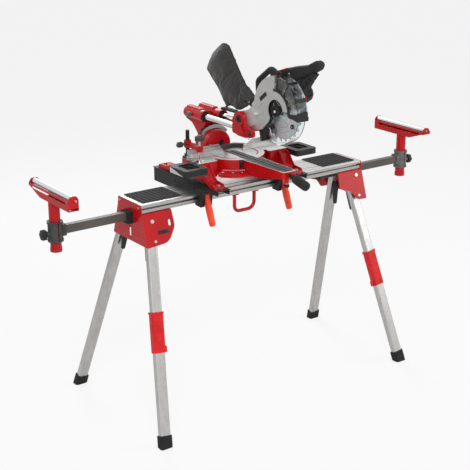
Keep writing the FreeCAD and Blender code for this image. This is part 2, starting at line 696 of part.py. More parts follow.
def turntable():
    # rotating table: skirted disc, hollow arm with a blade trench, and the fixed half of the bevel joint
    disc_body = disc(table_r, "xy", -37.6, 0).cut(disc(table_r - 5, "xy", -38, -7))
    body = disc_body.fuse(table_arm_shape(0, 0))
    hollow = table_arm_shape(4, 4).cut(box(-60, 60, -400, 60, -7, 5))
    body = body.cut(hollow.cut(box(-14, 14, -330, -310, -60, 0)))
    body = body.cut(handle_socket())
    trench_wall = box(-19, 19, -312, 32, -20, 0)
    body = body.fuse(trench_wall).fuse(disc(16, "xy", -37.6, -2))
    neck = prism([(70, -2), (70, -33), (128, -33, 6), (141, -12, 6), (141, -2)], "yz", -27, 27)
    neck = neck.cut(box(-21, 21, 60, 100, -34, -8))
    drum = disc(58, "xz", 100, 141, 0, tilt_z + 5).cut(box(-70, 70, 90, 150, -70, 1))
    drum = softened(drum, 5, lambda p, e: p.y < 100.1 and p.z > 2)
    foot_plate = box(-33, 33, 106, 141, -10, 2)
    body = body.fuse(neck).fuse(foot_plate).fuse(drum)
    body = body.cut(box(-21.5, 21.5, slot_front - 0.5, 28.5, -3.05, 1))
    body = body.cut(box(-15, 15, -306, 26, -16, 1))
    body = body.cut(box(-27.6, -22.4, -296, -62, -1.5, 1))
    body = body.cut(disc(12, "xz", 95, 108, 14, 14))
    body = body.cut(disc(20.05, "xz", 112, 142, 0, tilt_z))
    arcs = ring(82, 88, "xy", -1, 1)
    body = body.cut(arcs.cut(box(-44, 44, -130, 60, -2, 2)))
    boss = disc(7.5, "xy", -44, -16, 0, -306)
    body = body.fuse(boss)
    spigot = disc(9, "xy", -58, -30)
    body = body.fuse(spigot).removeSplitter()
    ring_part = disc(5.5, "xy", -47.5, -44.02, 0, -306)
    foot = revolved([(0, -58), (9, -58), (9.5, -56), (9.5, -50), (7, -47.52), (0, -47.52)], V(0, -306, 0), V(0, 0, 1))
    cap = disc(11.9, "xz", 103, 107.9, 14, 14)
    cap = cap.cut(hex_head(V(14, 104.5, 14), V(0, -1, 0), 10, 5))
    pointer = prism([(-47, -2, 2), (-41, -2, 2), (-42, -32, 1), (-46, -32, 1)], "xz", -106, -99)
    bolt = rod(V(-44, -112.5, -6), V(-44, -105, -6), 4.5)
    scale_index = join([pointer, bolt]).cut(disc_body)
    strip = box(-27.55, -22.45, -295.9, -62.1, -1.48, 0.3)
    return Part.makeCompound([body, ring_part, foot, cap, scale_index, strip])


def kerf_insert():
    # two-sided throat plate: a slot that widens downwards for the tilted blade
    plate = prism([(-21, slot_front, 4), (21, slot_front, 4), (21, 28, 4), (-21, 28, 4)], "xy", -3, 0)
    slot = prism([(-2.6, 0.1), (2.6, 0.1), (6.4, -3.2), (-6.4, -3.2)], "xz", -312, 24)
    plate = plate.cut(slot)
    for side in (-1, 1):
        for y in (-300, -240, -180, -120, -60, 0):
            plate = plate.cut(disc(3, "xy", -1, 1, side * 15, y))
        for y in (-270, -210, -150, -90, -30):
            pad = prism([(side * 15 - 2, y - 20, 1.9), (side * 15 + 2, y - 20, 1.9), (side * 15 + 2, y + 20, 1.9),
                         (side * 15 - 2, y + 20, 1.9)], "xy", -1, 1)
            plate = plate.cut(pad)
    return plate


def mitre_handle():
    # screw-in grip: steel neck, flared collar and a grooved handle with a domed end
    profile = [(0, -8), (7, -8), (7, 8), (10, 10), (10, 15), (7, 17), (7, 21), (15, 25), (16.5, 32)]
    for groove in range(5):
        start = 36 + groove * 8
        profile += [(16.5, start), (15.2, start + 1), (15.2, start + 2.4), (16.5, start + 3.4)]
    profile += [(16.5, 82), (15, 88), (10, 92), (0, 93)]
    return revolved(profile, V(0, arm_tip - 4, -13), handle_line)


def bevel_scale():
    return sector(60.5, 74, 38, 142, "xz", 122, 141.3, 0, 5)


def tilt_arm():
    # tilting half of the bevel joint, swept column and the twin guide housing for the rails
    face = disc(58, "xz", 141.3, 164, 0, 5).cut(box(-70, 70, 130, 170, -70, -12))
    spigot = disc(20, "xz", 114, 150, 0, tilt_z)
    column_side = [(141.3, -12), (141.3, 62, 14), (128, 92), (254, 92), (254, 86, 4), (214, 76, 30),
                   (184, 44, 60), (166, -12)]
    column = prism(column_side, "yz", -38, 38)
    taper = prism([(-30, -14), (30, -14), (40, 92), (-40, 92)], "xz", 120, 260)
    column = column.common(taper)
    column = column.cut(prism([(-24, -30), (24, -30), (26, 84), (-26, 84)], "xz", 172, 262))
    column = column.cut(sector(50, 75, 30, 150, "xz", 121, 141.3, 0, 5))
    seat = sector(56, 72, 45, 135, "xz", 141.3, 150, 0, 5)
    shapes = [face, spigot, column, seat]
    for side, front in ((-1, 140), (1, 116)):
        shapes.append(disc(21, "xz", front, 252, side * rail_x, rail_z))
        shapes.append(disc(23, "xz", front - 3, front + 14, side * rail_x, rail_z))
        shapes.append(prism([(side * 12, rail_z + 12), (side * 44, rail_z + 12), (side * 38, rail_z + 26,
                                                                                  4), (side * 18, rail_z + 26, 4)],
                            "xz", 158, 246))
    shapes.append(box(-30, 30, 146, 250, 91, rail_z + 12))
    body = join(shapes)
    for side in (-1, 1):
        body = body.cut(disc(rail_r + 0.05, "xz", 100, 260, side * rail_x, rail_z))
    body = body.cut(box(-8, 8, 140, 244, rail_z + 2, rail_z + 40))
    body = body.cut(rod(V(-60, 206, rail_z), V(-38, 206, rail_z), 5.05))
    body = body.cut(disc(6.05, "xz", 110, 190, 0, tilt_z)).cut(disc(12.6, "xz", 164.1, 190, 0, tilt_z))
    return body.removeSplitter()


def bevel_lever():
    # clamp handle on the bevel joint's bolt, behind the drum
    bolt = disc(6, "xz", 112, 180, 0, tilt_z)
    hub = disc(12, "xz", 164.4, 190, 0, tilt_z)
    arm = prism([(-7, 6, 4), (7, 6, 4), (9, -62, 8), (-9, -62, 8)], "xz", 179, 189)
    arm.rotate(V(0, 0, 0), V(0, 1, 0), -105)
    return join([bolt, hub, arm])


def slide_rails():
    shapes = []
    for side in (-1, 1):
        tube = disc(rail_r, "xz", -98, 249, side * rail_x, rail_z)
        shapes.append(tube.cut(disc(rail_r - 2.5, "xz", -90, 250, side * rail_x, rail_z)))
    strip = box(18, 40, -66, 108, 137.5, 142)
    for step in range(10):
        y = 30 + step * 8
        strip = strip.fuse(box(18, 40, y, y + 4, 141, 144.5))
    foot = box(18, 40, -76, -62, 134, 142)
    shapes.append(join([strip, foot]))
    return Part.makeCompound(shapes)


def slide_knob():
    screw = rod(V(-56, 206, rail_z), V(-rail_x - rail_r - 0.3, 206, rail_z), 5)
    grip = prism([(196, rail_z - 8, 4), (216, rail_z - 8, 4), (216, rail_z + 9, 4), (196, rail_z + 9, 4)],
                 "yz", -64, -52.2)
    return join([screw, grip])


def head_bracket():
    # clamps the front ends of the rails and carries the head's hinge between two lugs
    block = prism([(-100, 92, 6), (-60, 92, 6), (-60, 134, 8), (-100, 134, 8)], "yz", -50, 50)
    lug = [(-60, 96, 6), (-60, 140), (-78, 172, 22), (-128, 172, 24), (-131, 140, 14), (-150, 126, 12),
           (-182, 118, 10),
           (-178, 97, 12), (-140, 88, 20), (-100, 88, 10)]
    shapes = [block]
    left = prism(lug, "yz", -52, -41)
    left = left.cut(prism([(-133, 122, 3), (-118, 137, 3), (-112, 120, 3), (-138, 101, 3)], "yz", -60, -46))
    left = left.fuse(disc(25.5, "yz", -55, -41, pivot_y, pivot_z))
    left = left.fuse(disc(13, "yz", -55, -41, -168, 107))
    right_lug = [(-60, 96, 6), (-60, 140), (-80, 174, 20), (-126, 174, 22), (-124, 128, 20), (-100, 92, 8)]
    right = prism(right_lug, "yz", 41, 52)
    shapes += [left, right]
    body = join(shapes)
    for side in (-1, 1):
        body = body.cut(disc(rail_r + 0.02, "xz", -98, -50, side * rail_x, rail_z))
        body = body.cut(box(*sorted((side * 6, side * 10)), -110, -72, 84, 140))
    body = body.cut(disc(26.5, "yz", -40.6, 40.6, pivot_y, pivot_z))
    body = body.cut(disc(7.05, "yz", -60, 60, pivot_y, pivot_z))
    body = body.cut(disc(9, "yz", -60, -50, -168, 107))
    pin = disc(7, "yz", -52, 51, pivot_y, pivot_z)
    head = disc(13, "yz", -58, -51.9, pivot_y, pivot_z)
    head = head.cut(hex_head(V(-55, pivot_y, pivot_z), V(-1, 0, 0), 9, 5))
    stop = revolved([(0, 0), (8.9, 0), (8.9, 5), (6, 8), (0, 8)], V(-50.05, -168, 107), V(-1, 0, 0))
    stop = stop.cut(disc(3, "yz", -60, -55, -168, 107))
    return Part.makeCompound([body.removeSplitter(), join([pin, head]), stop])


def casing_arm():
    side = [(-80, 142, 16), (-84, 172, 20), (-122, 182, 10), (-178, 222, 10), (-205, 262, 8), (-222, 308),
            (-262, 318),
            (-262, 216), (-236, 160, 6), (-204, 130, 12), (-162, 116, 14), (-130, 128, 16), (-100, 126, 20)]
    return prism(side, "yz", left_face - 3, right_face + 3)


def casing_root():
    outline = [(-78, 150, 10), (-88, 173, 16), (-122, 176, 12), (-150, 196, 12), (-172, 176, 12),
               (-160, 130, 14), (-100, 126, 20)]
    return prism(outline, "yz", -38, 38)


def dust_port():
    return rod(V(-4, -156, 190), V(-4, -130.1, 202.95), 16)


def head_casing():
    # arm from the hinge to the blade housing, and the housing's fixed metal half
    by, bz = blade_y, blade_z
    arm = casing_arm()
    root = casing_root()
    left = sector(10, guard_r, -14, 88, "yz", left_face - 3, left_face, by, bz)
    left = left.fuse(sector(10, 69, 80, 172, "yz", left_face - 3, left_face, by, bz))
    right = sector(10, guard_r, -14, 180, "yz", right_face, right_face + 3, by, bz)
    rim = sector(116, guard_r, -14, 88, "yz", left_face - 3, right_face + 3, by, bz)
    body = join([arm, root, left, right, rim, dust_port()])
    body = body.cut(disc(115.8, "yz", left_face, right_face, by, bz))
    body = body.cut(box(left_face, right_face, by - 20, by + 116, bz - 90, bz))
    body = body.cut(disc(40, "yz", left_face - 5, left_face + 1, by, bz))
    body = body.cut(disc(24, "yz", right_face - 1, right_face + 5, by, bz))
    pocket = [(-112, 140, 6), (-122, 170, 8), (-150, 186, 8), (-166, 170, 8), (-150, 134, 8)]
    body = body.cut(prism(pocket, "yz", -30, 30))
    body = body.cut(disc(7.05, "yz", -60, 60, pivot_y, pivot_z))
    for a, b, c, d in ((-150, 180, -214, 226), (-170, 163, -212, 194)):
        ridge = rod(V(left_face - 3, a, b), V(left_face - 3, c, d), 1.6)
        body = body.fuse(ridge)
    hub = ring(10.05, 24, "yz", 5.05, right_face + 3, by, bz)
    body = body.fuse(ring(22, 26, "yz", right_face, right_face + 3, by, bz)).fuse(hub)
    screw = disc(3, "yz", left_face - 5, left_face - 3.02, -212, 182)
    return Part.makeCompound([body.removeSplitter(), screw])


def guard_window():
    by, bz = blade_y, blade_z
    side = sector(70, 118, 88.5, 180, "yz", left_face - 3, left_face, by, bz)
    rim = sector(116, 118, 88.5, 180, "yz", left_face - 3, right_face - 0.05, by, bz)
    return join([side, rim])


def guard_frame():
    # black trim that frames the windows: an inner band, three ribs over the rim and an end cap
    by, bz = blade_y, blade_z
    outside = left_face - 3.05
    band = sector(68.5, 77, 82, 184, "yz", left_face - 6, outside, by, bz)
    shapes = [band]
    for angle, width in ((91, 9), (121, 9), (154, 10)):
        rib = box(left_face - 5.5, outside, 74, 119, -width / 2, width / 2)
        over = box(left_face - 5.5, right_face - 0.1, 118.05, 121, -width / 2, width / 2)
        if angle == 154:
            over = over.fuse(box(left_face - 5.5, right_face - 0.1, 118.05, 123, -8, 6))
        part = rib.fuse(over)
        part.rotate(V(0, 0, 0), V(1, 0, 0), angle)
        part.translate(V(0, by, bz))
        shapes.append(part)
    cap = sector(74, 122, 176, 186, "yz", left_face - 6, outside, by, bz)
    cap = cap.fuse(sector(118.1, 123, 173, 187, "yz", left_face - 6, right_face - 0.1, by, bz))
    cap = cap.fuse(sector(113, 123, 180.6, 187, "yz", left_face - 6, right_face + 2.9, by, bz))
    shapes.append(cap)
    return join(shapes)


def motor():
    # inclined motor: gearbox flange, ribbed body and a vented end cap
    angle = math.radians(24)
    axis = V(math.cos(angle), 0, math.sin(angle))
    start = V(22, blade_y + 12, blade_z + 20)
    gearbox = prism([(blade_y - 36, blade_z - 28, 16), (blade_y - 38, blade_z + 62, 20),
                     (blade_y + 58, blade_z + 62, 20),
                     (blade_y + 52, blade_z - 28, 16)], "yz", right_face + 3.05, 44)
    body = Part.makeCylinder(41, 66, start, axis)
    for k in range(12):
        turn = 30 * k
        rib = box(-1.5, 1.5, 40, 43, 4, 64)
        rib.rotate(V(0, 0, 0), V(0, 0, 1), turn)
        rib.Placement = FreeCAD.Placement(start, FreeCAD.Rotation(V(0, 0, 1), axis)).multiply(rib.Placement)
        body = body.fuse(rib)
    body = body.fuse(gearbox)
    body = body.cut(box(-60, right_face + 3.05, -400, 0, 0, 400))
    body = body.cut(disc(10.05, "yz", 10, 41, blade_y, blade_z)).removeSplitter()
    profile = [(0, 66.05), (42.5, 66.05), (42.5, 90), (38, 98), (0, 98)]
    cap = revolved(profile, start, axis)
    for k in range(14):
        slot = box(34, 46, -2.2, 2.2, 71, 88)
        slot.rotate(V(0, 0, 0), V(0, 0, 1), k * 360 / 14)
        slot.Placement = FreeCAD.Placement(start, FreeCAD.Rotation(V(0, 0, 1), axis)).multiply(slot.Placement)
        cap = cap.cut(slot)
    for k in range(5):
        slot = box(-24 + abs(k - 2) * 5, 24 - abs(k - 2) * 5, -22 + k * 10, -18 + k * 10, 94, 99)
        slot.Placement = FreeCAD.Placement(start, FreeCAD.Rotation(V(0, 0, 1), axis)).multiply(slot.Placement)
        cap = cap.cut(slot)
    return Part.makeCompound([body, cap])


def main_handle():
    # operating handle and carrying arch, one moulding screwed to the housing
    grip_side = [(-214, 300, 6), (-236, 330, 14), (-282, 346, 14), (-322, 358, 40), (-388, 372, 60), (-428, 392, 12),
                 (-452, 384, 12), (-440, 362, 14), (-384, 334, 30), (-340, 314, 10), (-300, 312, 8), (-282, 294, 6)]
    grip = prism(grip_side, "yz", 8, 42)
    grip = softened(grip, 9, lambda p, e: (abs(p.x - 8) < 0.01 or abs(p.x - 42) < 0.01) and p.y < -290 and p.z > 322)
    arch = bent_rod([(-155, 196), (-150, 286, 18), (-222, 338, 22), (-262, 322)], 10, "yz", -6)
    bridge = box(-14, 30, -268, -226, 306, 326)
    bridge = bridge.common(prism([(-280, 312), (-262, 328, 4), (-226, 328, 4), (-216, 306), (-280, 306)],
                                 "yz", -20, 40))
    body = join([grip, arch, bridge])
    body = body.cut(disc(guard_r + 2.2, "yz", left_face - 12, right_face + 3.1, blade_y, blade_z))
    strut = [(-424, 346, 3), (-398, 350), (-334, 288, 4), (-322, 258, 6), (-348, 254, 8)]
    strut = prism(strut, "yz", 16, 35)
    for step in range(4):
        y, z = -352 - step * 15, 272 + step * 16
        slot = [(y - 9, z + 3, 2), (y - 5, z - 1, 2), (y + 9, z + 11, 2), (y + 5, z + 15, 2)]
        strut = strut.cut(prism(slot, "yz", 10, 40))
    body = body.cut(casing_arm()).cut(casing_root()).cut(dust_port())
    body = body.cut(box(13, 37, -352, -316, 300, 337)).fuse(strut)
    body = body.cut(disc(guard_r + 0.3, "yz", left_face - 12, right_face + 3.1, blade_y, blade_z))
    pin = disc(2, "yz", 10, 40, *trigger_pin)
    return body.fuse(pin).removeSplitter()


def trigger():
    blade = prism([(-318, 328, 3), (-350, 328, 3), (-350, 312, 4), (-338, 306, 6), (-318, 312, 4)], "yz", 15.5, 36)
    return blade.cut(disc(2.05, "yz", 10, 40, *trigger_pin))


def dust_chute():
    # rubber chute behind the blade, held by a row of small screws
    by, bz = blade_y, blade_z
    wall = prism([(-176, 132, 2), (-190, 82, 3), (-212, 96, 3), (-232, 118, 3), (-218, 144, 2)], "yz", -24, -20.6)
    throat = prism([(-176, 132, 2), (-190, 82, 3), (-206, 92, 3), (-196, 132, 2)], "yz", -21, 10)
    throat = throat.cut(disc(113.4, "yz", -22, 12, by, bz))
    chute = wall.fuse(throat).cut(casing_arm()).removeSplitter()
    screws = [disc(2.6, "yz", -26, -24.02, y, z) for y, z in ((-187, 112), (-190, 102), (-194, 92))]
    return Part.makeCompound([chute] + screws)


def bag_section(scale, x):
    corners = [(-104, 186, 12), (-40, 166, 16), (38, 160, 16), (92, 222, 40), (166, 280, 22),
               (126, 344, 60), (66, 388, 16), (22, 384, 22),
               (-26, 322, 60), (-74, 262, 40), (-118, 236, 10)]
    middle_y, middle_z = 24, 268
    points = []
    for y, z, r in corners:
        points.append((middle_y + (y - middle_y) * scale, middle_z + (z - middle_z) * scale, r * scale))
    wire = lay(rounded_wire(points), "yz")
    wire.translate(V(x, 0, 0))
    return wire


def dust_bag():
    sections = [bag_section(0.72, -36), bag_section(0.9, -27), bag_section(1.0, -4), bag_section(0.9, 19),
                bag_section(0.72, 28)]
    bag = Part.makeLoft(sections, True, True)
    neck = rod(V(-4, -124, 206), V(-4, -92, 222), 17)
    collar = rod(V(-4, -130, 203), V(-4, -118, 209), 19)
    return join([bag, neck, collar])


def saw_blade():
    teeth = 24
    root = blade_r - 8
    points = []
    for k in range(teeth):
        turn = 2 * math.pi * k / teeth
        step = 2 * math.pi / teeth
        for radius, share in ((blade_r, 0.0), (blade_r - 1.5, 0.16), (root, 0.42), (root - 1, 0.7),
                              (blade_r - 5, 0.93)):
            angle = turn + step * share
            points.append(V(0, radius * math.cos(angle), radius * math.sin(angle)))
    face = Part.Face(Part.makePolygon(points + [points[0]]))
    body = face.extrude(V(2, 0, 0))
    body.translate(V(-1, 0, 0))
    body = body.cut(disc(15.02, "yz", -3, 3))
    for k in range(4):
        turn = math.radians(45 + 90 * k)
        slot = prism([(60, -1.2), (92, -1.2), (92, 1.2), (60, 1.2)], "yz", -3, 3)
        slot = slot.fuse(disc(3.4, "yz", -3, 3, 62, 0))
        slot.rotate(V(0, 0, 0), V(1, 0, 0), math.degrees(turn))
        body = body.cut(slot)
    body.translate(V(0, blade_y, blade_z))
    return body


def blade_arbor():
    # spindle with its inner flange, outer flange and left-hand hex bolt
    shapes = [disc(10, "yz", 5, 40, blade_y, blade_z), disc(15, "yz", -1, 5, blade_y, blade_z)]
    shapes.append(disc(20, "yz", 1.05, 3, blade_y, blade_z))
    shapes.append(disc(20, "yz", -5, -1.05, blade_y, blade_z))
    shapes.append(disc(15, "yz", -5, 0, blade_y, blade_z))
    shapes.append(hex_head(V(-5, blade_y, blade_z), V(-1, 0, 0), 14, 6))
    return join(shapes)


def lower_guard():
    # clear swinging guard: outer band, two side sheets, a ribbed hub and a finger roller
    by, bz = blade_y, blade_z
    band = sector(110, 112.5, 166, 326, "yz", -20, 10.5, by, bz)
    left = sector(30, 111, 166, 326, "yz", -20, -18, by, bz)
    right = sector(86, 111, 166, 326, "yz", 8.5, 10.5, by, bz)
    plate = disc(36, "yz", -20, -18, by, bz)
    boss = ring(14, 19, "yz", -31, -18, by, bz)
    shapes = [band, left, right, plate, boss]
    for angle in (20, 75, 130):
        rib = box(-23, -18, 18, 36, -1.2, 1.2)
        rib.rotate(V(0, 0, 0), V(1, 0, 0), angle)
        rib.translate(V(0, by, bz))
        shapes.append(rib)
    spoke = prism([(16, -9), (104, -5), (104, 5), (16, 9)], "yz", -22, -18)
    spoke.rotate(V(0, 0, 0), V(1, 0, 0), 205)
    spoke.translate(V(0, by, bz))
    roller_at = V(-20.05, by + 92 * math.cos(math.radians(204)), bz + 92 * math.sin(math.radians(204)))
    shapes.append(spoke.cut(rod(roller_at, roller_at - V(9, 0, 0), 9)))
    inner = sector(29, 42, 205, 250, "yz", 5.5, 10.5, by, bz)
    arm = sector(29, 90, 222, 240, "yz", 8.5, 10.5, by, bz)
    collar = ring(24.1, 31, "yz", 5.5, 10.5, by, bz)
    shapes += [inner, arm, collar]
    body = join(shapes).cut(disc(13.9, "yz", -32, -17, by, bz))
    roller = revolved([(0, 0), (7, 0), (8.5, 1.2), (8.5, 4.4), (7, 5.5), (0, 5.5)], roller_at, V(-1, 0, 0))
    cap = revolved([(0, 0), (13.8, 0), (13.8, 7), (9, 9), (0, 9)], V(-19, by, bz), V(-1, 0, 0))
    return Part.makeCompound([body, roller, cap])


def saw_bolts():
    # four screws with plain nuts, from the base's feet into the slots of the tool bars
    shapes = []
    for side in (-1, 1):
        for y, seat in ((-146, -64), (192, -57)):
            bolt = rod(V(side * bar_x, y, -base_height - 12), V(side * bar_x, y, seat + 2), 4)
            head = hex_head(V(side * bar_x, y, seat + 0.05), V(0, 0, 1), 13, 5)
            nut = hex_head(V(side * bar_x, y, -base_height - 3.2), V(0, 0, -1), 13, 6)
            shapes.append(join([bolt, head, nut]))
    return Part.makeCompound(shapes)


# ---------------------------------------------------------------- placing and writing
stand_nodes = {
    "rail": lambda: rail(),
    "rail_fittings": lambda: rail_fittings(),
    "end_bracket_left": lambda: end_bracket("left"),
    "end_bracket_right": lambda: end_bracket("right"),
    "bracket_bolts": lambda: bracket_bolts(),
    "carry_loop": lambda: carry_loop(),
    "leg_front_left": lambda: leg(-1, -1),
    "leg_front_right": lambda: leg(1, -1),
    "leg_rear_left": lambda: leg(-1, 1),
    "leg_rear_right": lambda: leg(1, 1),
    "leg_grip_left": lambda: leg_grip(-1),
    "leg_grip_right": lambda: leg_grip(1),
    "leg_lever_front_left": lambda: leg_lever(-1, -1),
    "leg_lever_front_right": lambda: leg_lever(1, -1),
    "leg_lever_rear_left": lambda: leg_lever(-1, 1),
    "leg_lever_rear_right": lambda: leg_lever(1, 1),
    "support_arm_left": lambda: support_arm(-1),
    "support_arm_right": lambda: support_arm(1),
    "post_clamp_left": lambda: post_clamp(-1),
    "post_clamp_right": lambda: post_clamp(1),
    "clamp_knob_left": lambda: clamp_knob(-1),
    "clamp_knob_right": lambda: clamp_knob(1),
    "support_post_left": lambda: support_post(-1),
    "support_post_right": lambda: support_post(1),
    "support_roller_left": lambda: support_roller(-1),
    "support_roller_right": lambda: support_roller(1),
    "tool_bar_left": lambda: tool_bar(-1),
    "tool_bar_right": lambda: tool_bar(1),
    "bar_lever_left": lambda: bar_lever(-1),
    "bar_lever_right": lambda: bar_lever(1),
}
saw_nodes = {
    "saw_base": saw_base,
    "fence": fence,
    "sliding_fence_left": lambda: sliding_fence(-1),
    "sliding_fence_right": lambda: sliding_fence(1),
    "extension_left": lambda: extension(-1),
    "extension_right": lambda: extension(1),
    "hold_down_post": hold_down_post,
    "hold_down_arm": hold_down_arm,
    "hold_down_screw": hold_down_screw,
    "turntable": turntable,
    "kerf_insert": kerf_insert,
    "mitre_handle": mitre_handle,
    "bevel_scale": bevel_scale,
    "tilt_arm": tilt_arm,
    "bevel_lever": bevel_lever,
    "slide_rails": slide_rails,
    "slide_knob": slide_knob,
    "head_bracket": head_bracket,
    "head_casing": head_casing,
    "guard_window": guard_window,
    "guard_frame": guard_frame,
    "motor": motor,
    "main_handle": main_handle,
    "trigger": trigger,
    "dust_chute": dust_chute,
    "dust_bag": dust_bag,
    "saw_blade": saw_blade,
    "blade_arbor": blade_arbor,
    "lower_guard": lower_guard,
    "saw_bolts": saw_bolts,
}


def write(name, shape, move):
    shape.translate(move)
    for solid in shape.Solids:
        if solid.Volume <= 0 or not solid.isValid():
            raise ValueError(name + " holds a solid that is not closed")
    limits = shape.BoundBox
    print(name, len(shape.Solids), "solids", [round(v) for v in (limits.XMin, limits.YMin, limits.ZMin,
                                                                 limits.XMax, limits.YMax, limits.ZMax)])
    shape.exportStep("parts/" + name + ".step")
    return limits


os.makedirs("parts", exist_ok=True)
whole = FreeCAD.BoundBox()
for name, build in stand_nodes.items():
    whole.add(write(name, build(), V(0, rest_y, 0)))
for name, build in saw_nodes.items():
    whole.add(write(name, build(), V(saw_x, saw_y + rest_y, table_z)))
print("whole", [round(v, 1) for v in (whole.XMin, whole.YMin, whole.ZMin, whole.XMax, whole.YMax, whole.ZMax)])
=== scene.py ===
import json
import math
import bmesh
import bpy
from mathutils import Matrix, Vector, bvhtree, geometry, noise


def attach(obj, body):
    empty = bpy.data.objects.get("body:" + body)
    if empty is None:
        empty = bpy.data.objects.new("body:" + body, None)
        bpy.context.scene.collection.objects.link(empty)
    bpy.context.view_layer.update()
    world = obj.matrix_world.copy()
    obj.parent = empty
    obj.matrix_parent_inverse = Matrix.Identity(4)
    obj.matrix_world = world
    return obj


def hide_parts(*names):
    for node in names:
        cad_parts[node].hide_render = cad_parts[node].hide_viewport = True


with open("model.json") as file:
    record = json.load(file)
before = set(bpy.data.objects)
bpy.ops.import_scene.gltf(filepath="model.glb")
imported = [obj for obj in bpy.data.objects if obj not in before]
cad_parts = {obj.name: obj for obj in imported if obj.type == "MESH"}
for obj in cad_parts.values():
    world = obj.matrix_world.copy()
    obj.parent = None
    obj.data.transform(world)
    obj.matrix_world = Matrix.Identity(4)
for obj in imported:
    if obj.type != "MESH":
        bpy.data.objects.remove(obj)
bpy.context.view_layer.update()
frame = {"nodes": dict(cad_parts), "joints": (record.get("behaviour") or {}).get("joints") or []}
nodes = frame["nodes"]
joints = {joint["name"]: joint for joint in frame["joints"]}
scene = bpy.context.scene
print("frame loaded with", len(nodes), "nodes")

sawOrigin = Vector(joints["mitre_turn"]["pos_m"])  # turntable axis at table height
bladeCentre = Vector(joints["blade_spin"]["pos_m"])
guardRollerCentre = bladeCentre + Vector((0, -0.08405, -0.03742))
standY = joints["roller_spin_left"]["pos_m"][1]  # middle line of the rail
railUnder = 768  # height of the rail's underside, millimetres


def onSaw(x, y, z):
    return sawOrigin + Vector((x, y, z)) / 1000  # millimetres from the turntable axis


def fromSaw(point):
    return (point - sawOrigin) * 1000


def onStand(x, y, z):
    return Vector((x / 1000, standY + y / 1000, z / 1000))


# node helpers
def addNode(tree, kind, **inputs):
    node = tree.nodes.new(kind)
    for name, value in inputs.items():
        if name in node.bl_rna.properties:
            setattr(node, name, value)
        else:
            node.inputs[name].default_value = value
    return node


def placeCoords(tree, scale=(1, 1, 1), turn=(0, 0, 0), centre=(0, 0, 0)):
    coords = addNode(tree, "ShaderNodeTexCoord")
    shift = addNode(tree, "ShaderNodeVectorMath", operation="SUBTRACT")
    shift.inputs[1].default_value = centre
    mapping = addNode(tree, "ShaderNodeMapping", Scale=scale, Rotation=[math.radians(a) for a in turn])
    tree.links.new(coords.outputs["Object"], shift.inputs[0])
    tree.links.new(shift.outputs[0], mapping.inputs["Vector"])
    return mapping.outputs[0]


def noiseOf(tree, coords, scale, detail=3.0, contrast=0.5):
    noise = addNode(tree, "ShaderNodeTexNoise", Scale=scale, Detail=detail, Roughness=contrast)
    tree.links.new(coords, noise.inputs["Vector"])
    return noise.outputs["Fac"]


def rangeOf(tree, value, low, high, newLow=0, newHigh=1):
    spread = addNode(tree, "ShaderNodeMapRange")
    for index, number in enumerate((low, high, newLow, newHigh)):
        spread.inputs[index + 1].default_value = number
    tree.links.new(value, spread.inputs[0])
    return spread.outputs[0]


def mixOf(tree, factor, first, second):
    mix = addNode(tree, "ShaderNodeMix", data_type="RGBA")
    tree.links.new(factor, mix.inputs[0])
    for slot, colour in ((6, first), (7, second)):
        if hasattr(colour, "links"):
            tree.links.new(colour, mix.inputs[slot])
        else:
            mix.inputs[slot].default_value = (*colour, 1)
    return mix.outputs[2]


def sumOf(tree, first, second, operation="ADD"):
    total = addNode(tree, "ShaderNodeMath", operation=operation)
    for index, value in enumerate((first, second)):
        if hasattr(value, "links"):
            tree.links.new(value, total.inputs[index])
        else:
            total.inputs[index].default_value = value
    return total.outputs[0]


def bumpOf(tree, shader, height, strength, distance, edge=0.0):
    bump = addNode(tree, "ShaderNodeBump", Strength=strength, Distance=distance)
    tree.links.new(height, bump.inputs["Height"])
    if edge:
        soft = addNode(tree, "ShaderNodeBevel", samples=4, Radius=edge)
        tree.links.new(soft.outputs[0], bump.inputs["Normal"])
    tree.links.new(bump.outputs[0], shader.inputs["Normal"])


def edgeMask(tree, radius, sharp):
    soft = addNode(tree, "ShaderNodeBevel", samples=4, Radius=radius)
    shape = addNode(tree, "ShaderNodeNewGeometry")
    dot = addNode(tree, "ShaderNodeVectorMath", operation="DOT_PRODUCT")
    tree.links.new(soft.outputs[0], dot.inputs[0])
    tree.links.new(shape.outputs["Normal"], dot.inputs[1])
    return rangeOf(tree, dot.outputs["Value"], sharp, 0.995, 1, 0)


def newFinish(name, base, roughness, metallic=0.0, coat=0.0, coatRoughness=0.06, shine=0.5):
    finish = bpy.data.materials.new(name)
    finish.use_nodes = True
    tree = finish.node_tree
    shader = tree.nodes["Principled BSDF"]
    shader.inputs["Base Color"].default_value = (*base, 1)
    shader.inputs["Roughness"].default_value = roughness
    shader.inputs["Metallic"].default_value = metallic
    shader.inputs["Specular IOR Level"].default_value = shine
    shader.inputs["Coat Weight"].default_value = coat
    shader.inputs["Coat Roughness"].default_value = coatRoughness
    return finish, tree, shader


# camera, lamps, floor
cameraSetup = {"azimuth": -36, "elevation": 19, "lens": 85, "distance": 4.15, "aim": (-0.055, 0.07, 0.585)}
lampSetup = {
    "keyPower": 62, "keySize": 1.8, "keyPlace": (-1.9, -2.4, 3.2),
    "fillPower": 24, "fillSize": 2.4, "fillPlace": (2.8, -1.9, 1.7),
    "backPower": 34, "backSize": 1.5, "backPlace": (0.7, 2.6, 2.7),
    "worldStrength": 0.5,
}


def aimAt(thing, target):
    thing.rotation_euler = (Vector(target) - thing.location).to_track_quat("-Z", "Y").to_euler()


def addLamp(name, place, size, power):
    lamp = bpy.data.lights.new(name, "AREA")
    lamp.shape, lamp.size, lamp.energy = "DISK", size, power
    holder = bpy.data.objects.new(name, lamp)
    scene.collection.objects.link(holder)
    holder.location = place
    aimAt(holder, (0, 0, 0.8))


